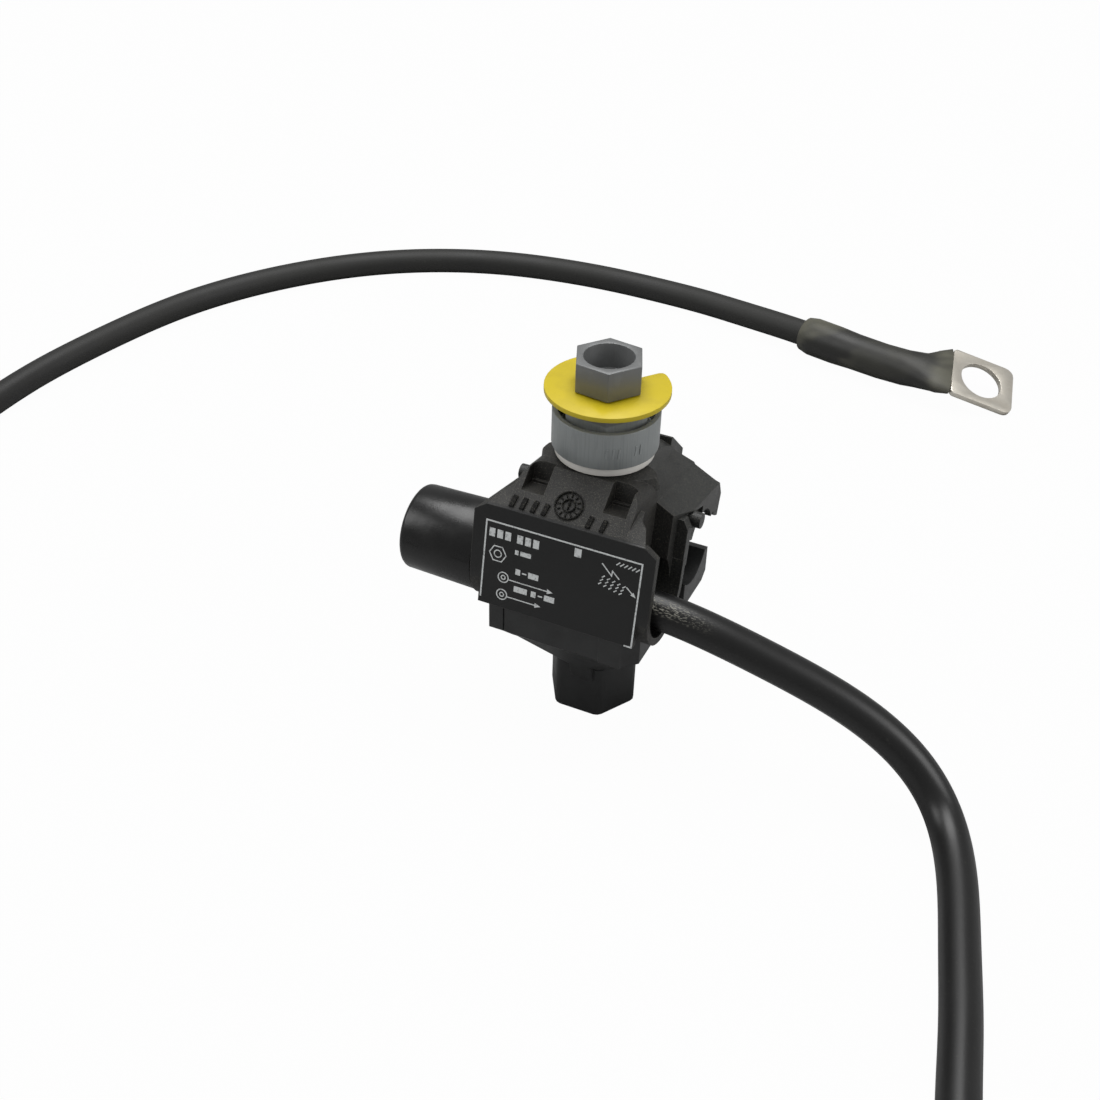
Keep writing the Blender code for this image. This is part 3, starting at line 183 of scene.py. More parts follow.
@dataclass(frozen=True)
class Pattern:
    """A noise pattern, and where a colour shows on it.

    Attributes:
        scale: Spots for each metre.
        detail: How many finer layers it has.
        low: The level where the colour starts.
        high: The level where it is full.
        share: How much of it shows there.
        colour: The colour.
        stretch: How much the pattern is squeezed along each axis.
    """

    scale: float
    detail: float
    low: float = 0.0
    high: float = 1.0
    share: float = 1.0
    colour: Colour = (0.0, 0.0, 0.0)
    stretch: Point = (1.0, 1.0, 1.0)


class TreeBuilder:
    """A node tree, with one way to add any node."""

    def __init__(self, tree: bpy.types.NodeTree) -> None:
        """Takes the tree to build in."""
        self.tree = tree

    def node(self, kind: str, settings: dict | None = None, sockets: dict | None = None) -> bpy.types.Node:
        """Adds one node.

        Args:
            kind: The node's type.
            settings: Its settings, set before the sockets.
            sockets: Values or links for its inputs, by name or number.

        Returns:
            The node.
        """
        node = self.tree.nodes.new(kind)
        for key, value in (settings or {}).items():
            setattr(node, key, value)
        for key, value in (sockets or {}).items():
            socket = value.socket if isinstance(value, Num) else value
            if isinstance(socket, bpy.types.NodeSocket):
                self.tree.links.new(socket, node.inputs[key])
            else:
                node.inputs[key].default_value = socket
        return node


class FinishGraph(TreeBuilder):
    """A material's node tree."""

    def __init__(self, name: str) -> None:
        """Makes an empty material.

        Args:
            name: The material's name.
        """
        self.material = bpy.data.materials.new(name)
        self.material.use_nodes = True
        super().__init__(self.material.node_tree)
        self.tree.nodes.clear()

    def place(self) -> bpy.types.NodeSocket:
        """Returns the point on the object, in metres."""
        return self.node("ShaderNodeTexCoord").outputs["Object"]

    def facing(self) -> bpy.types.NodeSocket:
        """Returns the surface's normal in the object's own frame."""
        return self.node("ShaderNodeTexCoord").outputs["Normal"]

    def along(self, direction: Value, vector: bpy.types.NodeSocket | None = None) -> Num:
        """Measures the place along a direction.

        Args:
            direction: The direction, in the object's frame.
            vector: The vector to measure, or None for the place.

        Returns:
            The dot product.
        """
        source = self.place() if vector is None else vector
        node = self.node("ShaderNodeVectorMath", {"operation": "DOT_PRODUCT"}, {0: source, 1: direction})
        return Num(self, node.outputs["Value"])

    def noise(self, pattern: Pattern) -> Num:
        """Adds a noise pattern.

        Args:
            pattern: Its scale, detail and stretch.

        Returns:
            The pattern, about 0.3 to 0.7.
        """
        mapping = self.node("ShaderNodeMapping", None, {"Vector": self.place(), "Scale": pattern.stretch})
        sockets = {"Vector": mapping.outputs[0], "Scale": pattern.scale, "Detail": pattern.detail}
        return Num(self, self.node("ShaderNodeTexNoise", None, sockets).outputs[0])

    def grain(self, scale: float) -> Num:
        """Adds a cell pattern, for the pits of a mould's grain."""
        node = self.node("ShaderNodeTexVoronoi", None, {"Vector": self.place(), "Scale": scale})
        return Num(self, node.outputs["Distance"])

    def mix(self, share: Value, first: Value, second: Value) -> bpy.types.NodeSocket:
        """Mixes two colours.

        Args:
            share: How much of the second shows, 0 to 1.
            first: The first colour.
            second: The second colour.

        Returns:
            The mixed colour.
        """

        def four(colour: Value) -> Value:
            """Returns a plain colour with its alpha."""
            return (*colour, 1.0) if isinstance(colour, tuple) and len(colour) == 3 else colour

        node = self.node("ShaderNodeMix", {"data_type": "RGBA"}, {0: share, 6: four(first), 7: four(second)})
        return node.outputs[2]

    def edge(self, radius: float) -> bpy.types.NodeSocket:
        """Returns normals that round each edge over a radius."""
        return self.node("ShaderNodeBevel", {"samples": 6}, {"Radius": radius}).outputs[0]

    def spotted(self, tone: Value, noise: Num, pattern: Pattern, mask: Value = 1.0) -> Value:
        """Lays a pattern's colour where the pattern is high."""
        return self.mix(noise.rise(pattern.low, pattern.high) * mask * pattern.share, tone, pattern.colour)

    def worn(self, tone: Value, colour: Colour, radius: float, share: float) -> Value:
        """Lays a colour on the edges; a lighter one stands partly for wear and partly for a painted highlight
        where the edges catch the light.

        Args:
            tone: The colour below.
            colour: The edges' colour, partly wear and partly a painted highlight.
            radius: How far an edge reaches.
            share: How much of the colour shows.

        Returns:
            The new colour.
        """
        sharp = self.node("ShaderNodeNewGeometry").outputs["Normal"]
        mask = (1.0 - self.along(self.edge(radius), sharp)).rise(*EDGE_LEVELS)
        return self.mix(mask * share, tone, colour)

    def bump(self, height: Value, depth: float, normal: Value | None = None) -> bpy.types.NodeSocket:
        """Adds relief.

        Args:
            height: The pattern.
            depth: How deep one unit of it is, in metres.
            normal: Normals to start from.

        Returns:
            The new normals.
        """
        sockets = {"Height": height, "Distance": depth, "Strength": 1.0}
        if normal is not None:
            sockets["Normal"] = normal
        return self.node("ShaderNodeBump", None, sockets).outputs[0]

    def close(self, sockets: dict) -> bpy.types.Material:
        """Ends the tree in a Principled shader.

        Args:
            sockets: The shader's values or links, by name.

        Returns:
            The finished material.
        """
        ready = {
            key: (*value, 1.0) if isinstance(value, tuple) and len(value) == 3 else value
            for key, value in sockets.items()
        }
        shader = self.node("ShaderNodeBsdfPrincipled", None, ready)
        self.node("ShaderNodeOutputMaterial", None, {"Surface": shader.outputs[0]})
        return self.material


# ---- finishes


@dataclass(frozen=True)
class JawFrame:
    """The upper jaw's own frame: it is tipped about X at the washer's ball centre."""

    pivot_z: float = 0.040
    tilt_deg: float = 10.27

    def matrix(self) -> Matrix:
        """Returns the turn and shift from the jaw's frame to the connector's."""
        turn = Matrix.Rotation(-math.radians(self.tilt_deg), 4, "X")
        return Matrix.Translation((0, 0, self.pivot_z)) @ turn

    def out(self, point: Point) -> Vector:
        """Returns a point of the jaw's frame in the connector's frame."""
        return self.matrix() @ Vector(point)

    def direction(self, vector: Point) -> Vector:
        """Returns a direction of the jaw's frame in the connector's frame."""
        return self.matrix().to_3x3() @ Vector(vector)


class Finish(ABC):
    """A surface finish that builds its own material once."""

    name: str

    def material(self) -> bpy.types.Material:
        """Returns the material, built on first use."""
        found = bpy.data.materials.get(self.name)
        return found if found is not None else self.build(FinishGraph(self.name))

    @abstractmethod
    def build(self, graph: FinishGraph) -> bpy.types.Material:
        """Builds the node tree."""


class Surface(Finish):
    """A finish that ends in one Principled shader."""

    def build(self, graph: FinishGraph) -> bpy.types.Material:
        """Builds the node tree from the shader's inputs."""
        return graph.close(self.inputs(graph))

    @abstractmethod
    def inputs(self, graph: FinishGraph) -> dict[str, Value]:
        """Adds the nodes before the shader."""


@dataclass(frozen=True)
class UpperMoulding(Surface):
    """Glass-filled black moulding with a grainy slope and a satin label plate, and lighter edges that are
    partly wear and partly a painted highlight.
    """

    name: str = "upper_moulding"
    slope: Colour = linear(30, 29, 27)
    plate: Colour = linear(12, 13, 13)
    flank: Colour = linear(34, 35, 34)
    # the light grey of the edges is partly wear and partly a painted highlight where the edges catch the
    # light
    edge: Colour = linear(112, 111, 105)
    jaw: JawFrame = JawFrame()
    plate_y: tuple[float, float] = (-0.0216, -0.0219)
    rear_y: tuple[float, float] = (-0.006, -0.003)
    cloud: Pattern = Pattern(140.0, 4.0, 0.42, 0.68, 0.45, linear(13, 13, 13))
    fleck: Pattern = Pattern(5200.0, 2.0, 0.55, 0.68, 0.55, linear(92, 90, 80))
    pit_scale: float = 3600.0
    fleck_relief: float = 0.6
    pit_relief: float = 0.5
    plate_relief: float = 0.15
    roughness: float = 0.56
    plate_gloss: float = 0.16
    rear_gloss: float = 0.10
    shine: float = 0.45

    def inputs(self, graph: FinishGraph) -> dict[str, Value]:
        """Adds the nodes of the slope, the plate and the rear.

        Args:
            graph: The empty graph.

        Returns:
            The shader's inputs, by name.
        """
        inward = self.jaw.direction((0, 1, 0))
        depth = graph.along(inward) - inward.dot(self.jaw.out((0, 0, 0)))
        plate, rear = depth.rise(*self.plate_y), depth.rise(*self.rear_y)
        cloud, fleck = graph.noise(self.cloud), graph.noise(self.fleck)
        grainy = 1.0 - plate
        tone = graph.mix(plate, graph.mix(rear, self.slope, self.flank), self.plate)
        tone = graph.spotted(tone, cloud, self.cloud)
        tone = graph.spotted(tone, fleck, self.fleck, grainy)
        # lighter edges: partly wear, partly a painted highlight
        tone = graph.worn(tone, self.edge, 0.25 * MM, 0.35)
        relief = fleck * self.fleck_relief + graph.grain(self.pit_scale) * self.pit_relief
        height = relief * (grainy * (1 - self.plate_relief) + self.plate_relief)
        gloss = plate * self.plate_gloss + rear * self.rear_gloss
        return {
            "Base Color": tone,
            "Roughness": self.roughness - gloss + (cloud - EVEN) * 0.25,
            "Normal": graph.bump(height, 0.07 * MM, graph.edge(0.22 * MM)),
            "Specular IOR Level": self.shine,
        }


@dataclass(frozen=True)
class SpottedFinish(Surface):
    """One base colour under a cloudy and a fine pattern.

    Attributes:
        name: The material's name.
        base: The base colour.
        cloud: The large pattern.
        fine: The fine pattern.
        roughness: The mean roughness.
        uneven: How much each of the two patterns changes the roughness.
        relief: How much each of them counts in the relief.
        depth: How deep the relief is.
        rounding: The radius that the edges are shown with.
        metallic: How metallic it is.
        shine: The level of its reflection.
        edge: The colour of the edges, partly wear and partly a painted highlight, if they show.
    """

    name: str
    base: Colour
    cloud: Pattern
    fine: Pattern
    roughness: float
    uneven: tuple[float, float]
    relief: tuple[float, float]
    depth: float
    rounding: float = 0.0
    metallic: float = 0.0
    shine: float = 0.5
    edge: Colour | None = None

    def inputs(self, graph: FinishGraph) -> dict[str, Value]:
        """Adds the nodes of both patterns.

        Args:
            graph: The empty graph.

        Returns:
            The shader's inputs, by name.
        """
        cloud, fine = graph.noise(self.cloud), graph.noise(self.fine)
        tone = graph.spotted(graph.spotted(self.base, cloud, self.cloud), fine, self.fine)
        if self.edge is not None:
            tone = graph.worn(tone, self.edge, 0.25 * MM, 0.35)
        height = cloud * self.relief[0] + fine * self.relief[1]
        rounded = graph.edge(self.rounding) if self.rounding else None
        return {
            "Base Color": tone,
            "Metallic": self.metallic,
            "Roughness": self.roughness + (cloud - EVEN) * self.uneven[0] + (fine - EVEN) * self.uneven[1],
            "Normal": graph.bump(height, self.depth, rounded),
            "Specular IOR Level": self.shine,
        }


def metal(name: str, base: Colour, dull: Colour, roughness: float, metallic: float) -> Finish:
    """Plated or tinned metal with a fine brushed grain and dull spots.

    Args:
        name: The material's name.
        base: The metal's tone.
        dull: The tone of its dull spots.
        roughness: How rough it is between them.
        metallic: How far it shows as metal.

    Returns:
        The finish.
    """
    cloud = Pattern(260.0, 4.0, 0.44, 0.70, 0.5, dull)
    brush = Pattern(1800.0, 3.0, 0.56, 0.72, 0.25, dull)
    return SpottedFinish(
        name, base, cloud, brush, roughness, (0.3, 0.15), (1.0, 1.0), 0.012 * MM, 0.12 * MM, metallic
    )


def rubber(name: str, base: Colour, bloom: Colour, scale: float, roughness: float, depth: float) -> Finish:
    """Matt or satin rubber with a soft bloom."""
    cloud, fine = Pattern(scale, 5.0, 0.46, 0.74, 0.5, bloom), Pattern(2600.0, 2.0, share=0.0)
    return SpottedFinish(name, base, cloud, fine, roughness, (0.35, 0.0), (2.0, 0.3), depth, shine=0.45)


# lower_moulding: its lighter edges are partly wear and partly a painted highlight
LOWER_MOULDING = SpottedFinish(
    "lower_moulding", linear(30, 31, 31), Pattern(160.0, 4.0, 0.40, 0.70, 0.5, linear(14, 14, 14)),
    Pattern(5000.0, 2.0, 0.60, 0.74, 0.25, linear(76, 77, 74)), 0.44, (0.3, 0.0), (0.0, 1.0),
    0.022 * MM, 0.25 * MM, edge=linear(74, 76, 75),
)
YELLOW_CLIP = SpottedFinish(
    "yellow_clip", linear(190, 170, 22), Pattern(240.0, 3.0, 0.40, 0.70, 0.35, linear(168, 148, 16)),
    Pattern(2300.0, 3.0, 0.68, 0.78, 0.45, linear(150, 138, 60)), 0.42, (0.25, 0.0), (2.0, 0.3),
    0.02 * MM, 0.15 * MM, shine=0.45,
)
SEAL_RUBBER = rubber("seal_soft_rubber", linear(24, 24, 24), linear(44, 44, 42), 260.0, 0.62, 0.02 * MM)
CAP_RUBBER = rubber("cap_satin_rubber", linear(7, 7, 7), linear(22, 22, 21), 150.0, 0.30, 0.05 * MM)
PLATED_STEEL = metal("plated_steel", linear(97, 94, 89), linear(68, 66, 62), 0.34, 0.9)
BLADE_TIN = metal("blade_tin", linear(196, 190, 180), linear(150, 144, 134), 0.30, 0.92)
LUG_TIN = metal("tinned_lug", linear(216, 211, 200), linear(190, 183, 170), 0.38, 0.85)


@dataclass(frozen=True)
class JacketPlastic(Surface):
    """Black cable jacket with drawn streaks and pale scuffs where it leaves the jaws; they show only on the
    side that faces the overhead lamp, so they are partly a painted highlight.
    """

    name: str = "jacket_plastic"
    base: Colour = linear(8, 8, 8)
    far: Colour = linear(20, 20, 17)
    far_y: tuple[float, float] = (-0.01, 0.09)
    scuff_and_sheen_x: tuple[float, float] = (0.033, 0.022)
    scuff_and_sheen_z: tuple[float, float] = (0.022, 0.026)
    # the pale colour shows only on surfaces that face the overhead lamp's highlight, so it is partly a
    # painted highlight
    sheen_way: Point = (0.05, -0.60, 0.80)
    sheen_facing: tuple[float, float] = (0.84, 0.97)
    cloud: Pattern = Pattern(70.0, 4.0, 0.30, 0.62, 0.55)
    spots: Pattern = Pattern(1500.0, 3.0, 0.62, 0.74, 0.12, linear(76, 76, 70))
    # the streak colour is the pale of the scuffs, partly a painted highlight
    streak: Pattern = Pattern(4200.0, 3.0, 0.52, 0.62, 0.75, linear(150, 148, 138), (0.25, 1.0, 1.0))

    def inputs(self, graph: FinishGraph) -> dict[str, Value]:
        """Adds the nodes of the lighter far length, and of the scuffs with their painted highlight.

        Args:
            graph: The empty graph.

        Returns:
            The shader's inputs, by name.
        """
        back = graph.along((0, 1, 0)).rise(*self.far_y)
        cloud, spots = graph.noise(self.cloud), graph.noise(self.spots)
        near = graph.along((1, 0, 0)).rise(*self.scuff_and_sheen_x) * graph.along((0, 0, 1)).rise(*self.scuff_and_sheen_z)
        # front: the side facing the overhead lamp, where the pale colour stands partly for a painted
        # highlight
        front = graph.along(self.sheen_way, graph.facing()).rise(*self.sheen_facing)
        scuffs_and_sheen = graph.noise(self.streak).rise(self.streak.low, self.streak.high) * near * front
        # the far length turns lighter, in cloudy patches
        far_clouding = cloud.rise(self.cloud.low, self.cloud.high) * self.cloud.share + (1 - self.cloud.share)
        tone = graph.mix(back * far_clouding, self.base, self.far)
        tone = graph.spotted(tone, spots, self.spots)
        return {
            "Base Color": graph.mix(scuffs_and_sheen * self.streak.share, tone, self.streak.colour),
            "Roughness": 0.40 + back * 0.22 + (cloud - EVEN) * 0.2 + scuffs_and_sheen * 0.2,
            "Normal": graph.bump(spots + cloud * 3.0, 0.012 * MM),
            "Specular IOR Level": 0.5,
        }


@dataclass(frozen=True)
class ShrinkTube(Surface):
    """Heat-shrunk tubing: matt olive black with paler patches where it is stretched."""

    name: str = "shrink_tube"
    base: Colour = linear(24, 24, 21)
    pale_until: tuple[float, float] = (0.016, 0.008)
    pale_from: tuple[float, float] = (0.036, 0.040)
    cloud: Pattern = Pattern(110.0, 2.0, 0.40, 0.62, 1.0, linear(78, 77, 66), (0.5, 1.0, 1.0))
    fine: Pattern = Pattern(1900.0, 3.0)

    def inputs(self, graph: FinishGraph) -> dict[str, Value]:
        """Adds the nodes of the stretched, paler ends.

        Args:
            graph: The empty graph.

        Returns:
            The shader's inputs, by name.
        """
        cloud = graph.noise(self.cloud)
        middle = graph.along((1, 0, 0))
        ends = middle.rise(*self.pale_until) + middle.rise(*self.pale_from)
        return {
            "Base Color": graph.spotted(self.base, cloud, self.cloud, ends * 0.75 + 0.2),
            "Roughness": 0.50 + (cloud - EVEN) * 0.3,
            "Normal": graph.bump(cloud * 3.0 + graph.noise(self.fine) * 0.4, 0.05 * MM),
            "Specular IOR Level": 0.45,
        }


@dataclass(frozen=True)
class CastZinc(Surface):
    """Blue-grey cast cup with drawn streaks, under a darker drive hexagon."""

    name: str = "cast_zinc_head"
    cup: Colour = linear(141, 145, 145)
    drive: Colour = linear(108, 109, 109)
    # the pale edges are partly wear and partly a painted highlight where the edges catch the light
    edge: Colour = linear(176, 180, 184)
    collar_z: tuple[float, float] = (0.0752, 0.0758)
    streak: Pattern = Pattern(2600.0, 3.0, 0.44, 0.66, 0.22, linear(108, 111, 113), (1.0, 1.0, 0.06))
    cloud: Pattern = Pattern(320.0, 4.0, 0.50, 0.72, 0.15, linear(138, 143, 146))
    fleck: Pattern = Pattern(4200.0, 2.0)

    def inputs(self, graph: FinishGraph) -> dict[str, Value]:
        """Adds the nodes of the cup and the drive hexagon.

        Args:
            graph: The empty graph.

        Returns:
            The shader's inputs, by name.
        """
        streak, cloud = graph.noise(self.streak), graph.noise(self.cloud)
        tone = graph.mix(graph.along((0, 0, 1)).rise(*self.collar_z), self.cup, self.drive)
        tone = graph.spotted(tone, streak, self.streak)
        tone = graph.spotted(tone, cloud, self.cloud)
        relief = streak * 1.2 + graph.noise(self.fleck) * 0.5
        return {
            # pale edges: partly wear, partly a painted highlight
            "Base Color": graph.worn(tone, self.edge, 0.2 * MM, 0.5),
            "Metallic": 0.35,
            "Roughness": 0.46 + (cloud - EVEN) * 0.3,
            "Normal": graph.bump(relief, 0.02 * MM, graph.edge(0.15 * MM)),
        }


@dataclass(frozen=True)
class PrintInk(Surface):
    """Thin off-white print with a slightly broken edge and worn spots."""

    name: str = "print_ink"
    base: Colour = linear(205, 208, 208)
    wear: Pattern = Pattern(1700.0, 3.0, 0.52, 0.70, 0.7, linear(128, 130, 130))

    def inputs(self, graph: FinishGraph) -> dict[str, Value]:
        """Adds the nodes of the worn spots.

        Args:
            graph: The empty graph.

        Returns:
            The shader's inputs, by name.
        """
        wear = graph.noise(self.wear)
        tone = graph.spotted(self.base, wear, self.wear)
        return {"Base Color": tone, "Roughness": 0.55 + (wear - EVEN) * 0.2}


@dataclass(frozen=True)
class WhiteFloor(Finish):
    """A floor that shows white to the camera and is grey to the lamps' light."""

    name: str = "white_floor"
    glow: float = 0.975
    paint: Colour = (0.35, 0.35, 0.35)

    def build(self, graph: FinishGraph) -> bpy.types.Material:
        """Builds the floor's paint.

        Args:
            graph: The empty graph.

        Returns:
            The finished material.
        """
        rays = graph.node("ShaderNodeLightPath")
        share = Num(graph, rays.outputs["Is Camera Ray"]) * self.glow
        matt = graph.node("ShaderNodeBsdfDiffuse", None, {"Color": (*self.paint, 1.0)})
        glow = graph.node("ShaderNodeEmission", None, {"Color": (1.0, 1.0, 1.0, 1.0), "Strength": 1.0})
        mixed = graph.node("ShaderNodeMixShader", None, {0: share, 1: matt.outputs[0], 2: glow.outputs[0]})
        graph.node("ShaderNodeOutputMaterial", None, {"Surface": mixed.outputs[0]})
        return graph.material


# ---- meshes


def new_object(name: str, shape: bpy.types.ID) -> bpy.types.Object:
    """Puts a mesh, curve, lamp or camera in the scene, at the origin.

    Args:
        name: The object's name.
        shape: Its data.

    Returns:
        The object.
    """
    made = bpy.data.objects.new(name, shape)
    bpy.context.scene.collection.objects.link(made)
    return made


def settled(made: bpy.types.Object, finish: Finish, sharp_deg: float) -> bpy.types.Object:
    """Applies an object's modifiers and gives it its finish.

    Args:
        made: The object.
        finish: Its finish.
        sharp_deg: Faces that meet at more than this keep a sharp edge.

    Returns:
        The same object with a plain mesh.
    """
    bpy.context.view_layer.update()
    graph = bpy.context.evaluated_depsgraph_get()
    mesh = bpy.data.meshes.new_from_object(made.evaluated_get(graph), depsgraph=graph)
    made.modifiers.clear()
    made.data = mesh
    mesh.shade_smooth()
    mesh.set_sharp_from_angle(angle=math.radians(sharp_deg))
    mesh.materials.clear()
    mesh.materials.append(finish.material())
    return made


def placed(made: bpy.types.Object, body: Body) -> bpy.types.Object:
    """Names the body that a piece moves with.

    Args:
        made: The piece.
        body: The body that it moves with.

    Returns:
        The same piece.
    """
    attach(made, body.value)
    return made


def dressed(
    node: str, body: Body, finish: Finish, bevel: float = 0.0, sharp_deg: float = 32.0
) -> bpy.types.Object:
    """Replaces a solid by a merged, rounded and finished copy of it.

    Args:
        node: The solid's name.
        body: The body that it moves with.
        finish: Its finish.
        bevel: How far its edges are rounded.
        sharp_deg: Faces that meet at more than this keep a sharp edge.

    Returns:
        The new piece.
    """
    mesh = frame["nodes"][node].data.copy()
    for extra in [a.name for a in mesh.attributes if a.name == "custom_normal"]:
        mesh.attributes.remove(mesh.attributes[extra])
    work = bmesh.new()
    work.from_mesh(mesh)
    bmesh.ops.remove_doubles(work, verts=work.verts, dist=MERGE_DISTANCE)
    bmesh.ops.dissolve_limit(work, angle_limit=math.radians(FLAT_DEG), verts=work.verts, edges=work.edges)
    work.to_mesh(mesh)
    work.free()
    made = new_object(f"{node}_dressed", mesh)
    if bevel:
        rounding = made.modifiers.new("edges", "BEVEL")
        rounding.width = bevel
        rounding.segments = 2
        rounding.limit_method = "ANGLE"
        rounding.angle_limit = math.radians(sharp_deg)
    settled(made, finish, sharp_deg)
    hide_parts(node)
    log.info("dressed %s: %d faces", node, len(made.data.polygons))
    return placed(made, body)


def surface_point(node: str, start: Vector, direction: Vector) -> Vector:
    """Finds where a line meets a solid.

    Args:
        node: The solid's name.
        start: Where the line starts.
        direction: Where it goes.

    Returns:
        The first point met, or the start where none is.
    """
    work = bmesh.new()
    work.from_mesh(frame["nodes"][node].data)
    hit = BVHTree.FromBMesh(work).ray_cast(start, direction)[0]
    work.free()
    return hit if hit is not None else start


@dataclass
class FlatArt:
    """Thin flat shapes on one plane, drawn in millimetres and gathered into one mesh."""

    origin: Vector
    across: Vector
    upward: Vector
    thickness: float
    sunk: float = 0.02
    least_mitre: float = 0.4
    head_slope: float = 0.42
    mesh: bmesh.types.BMesh = field(default_factory=bmesh.new)

    def at(self, u: float, v: float, height: float) -> Vector:
        """Returns the point u across and v up the plane, at a height above it."""
        out = self.across.cross(self.upward)
        return self.origin + (self.across * u + self.upward * v + out * height) * MM

    def solid(self, outline: Sequence[Point]) -> None:
        """Adds a filled shape.

        Args:
            outline: Its corners, turning left.
        """
        low = [self.mesh.verts.new(self.at(u, v, -self.sunk)) for u, v in outline]
        high = [self.mesh.verts.new(self.at(u, v, self.thickness)) for u, v in outline]
        self.mesh.faces.new(high)
        self.mesh.faces.new(low[::-1])
        for one in range(len(outline)):
            two = (one + 1) % len(outline)
            self.mesh.faces.new((low[one], low[two], high[two], high[one]))

    def line(self, points: Sequence[Point], width: float, closed: bool = False) -> None:
        """Adds a line with mitred corners.

        Args:
            points: The corners of the line.
            width: How wide it is.
            closed: Whether its end meets its start.
        """
        count = len(points)
        sides: list[tuple[Vector, Vector]] = []
        for index, point in enumerate(points):
            here = Vector(point)
            before = Vector(points[index - 1]) if closed or index else here
            after = Vector(points[(index + 1) % count]) if closed or index < count - 1 else here
            one = (here - before).normalized() if before != here else (after - here).normalized()
            two = (after - here).normalized() if after != here else one
            middle = (one + two).normalized()
            normal = Vector((-middle.y, middle.x))
            reach = width / 2 / max(self.least_mitre, normal.dot(Vector((-one.y, one.x))))
            sides.append((here + normal * reach, here - normal * reach))
        for one in range(count if closed else count - 1):
            (left, right), (next_left, next_right) = sides[one], sides[(one + 1) % count]
            self.solid([right, next_right, next_left, left])

    def ring(self, centre: Point, radius: float, width: float, sides: int = 28) -> None:
        """Adds a ring.

        Args:
            centre: Its middle.
            radius: Its radius, to the middle of the line.
            width: How wide the line is.
            sides: How many sides it is drawn with.
        """
        turns = [math.tau * step / sides for step in range(sides)]
        points = [(centre[0] + radius * math.cos(a), centre[1] + radius * math.sin(a)) for a in turns]
        self.line(points, width, closed=True)

    def arrow(self, start: Point, end: Point, width: float, head: float) -> None:
        """Adds an arrow.

        Args:
            start: Where it starts.
            end: Where its tip is.
            width: How wide its line is.
            head: How long its head is.
        """
        tip = Vector(end)
        way = (tip - Vector(start)).normalized()
        side = Vector((-way.y, way.x)) * head * self.head_slope
        neck = tip - way * head
        self.line([start, neck], width)
        self.solid([neck - side, tip, neck + side])

    def finished(self, name: str, finish: Finish, body: Body, slot: Slot) -> bpy.types.Object:
        """Turns the shapes into one piece.

        Args:
            name: The piece's name.
            finish: Its finish.
            body: The body that it moves with.
            slot: Not used.

        Returns:
            The piece.
        """
        mesh = bpy.data.meshes.new(name)
        self.mesh.to_mesh(mesh)
        self.mesh.free()
        piece = placed(settled(new_object(name, mesh), finish, CREASE_DEG), body)
        log.info("%s: %d faces", name, len(piece.data.polygons))
        return piece


# ---- geometry nodes


class ShapeTree(TreeBuilder):
    """A Geometry Nodes tree with named inputs for its sizes."""

    def __init__(self, name: str, sizes: Sequence[str]) -> None:
        """Makes an empty tree.

        Args:
            name: The tree's name.
            sizes: The names of its number inputs.
        """
        super().__init__(bpy.data.node_groups.new(name, "GeometryNodeTree"))
        self.ids: dict[str, str] = {}
        for size in sizes:
            socket = self.tree.interface.new_socket(size, in_out="INPUT", socket_type="NodeSocketFloat")
            self.ids[size] = socket.identifier
        self.tree.interface.new_socket("Geometry", in_out="OUTPUT", socket_type="NodeSocketGeometry")
        self.entry = self.tree.nodes.new("NodeGroupInput")

    def size(self, name: str) -> bpy.types.NodeSocket:
        """Returns the socket of a named input."""
        return self.entry.outputs[name]

    def grown(self, name: str, shape: bpy.types.NodeSocket, finish: Finish, sizes: dict) -> bpy.types.Object:
        """Closes the tree and turns its result into a plain mesh.

        Args:
            name: The new object's name.
            shape: The geometry that the tree ends with.
            finish: The finish that it sets.
            sizes: A value for each named input.

        Returns:
            The new object, without a modifier.
        """
        real = self.node("GeometryNodeRealizeInstances", None, {0: shape})
        dress = self.node(
            "GeometryNodeSetMaterial", None, {"Geometry": real.outputs[0], "Material": finish.material()}
        )
        self.node("NodeGroupOutput", None, {0: dress.outputs[0]})
        made = new_object(name, bpy.data.meshes.new(name))
        grower = made.modifiers.new("shape", "NODES")
        grower.node_group = self.tree
        for size, value in sizes.items():
            grower[self.ids[size]] = value
        return settled(made, finish, GROWN_CREASE_DEG)


# ---- sub-assemblies


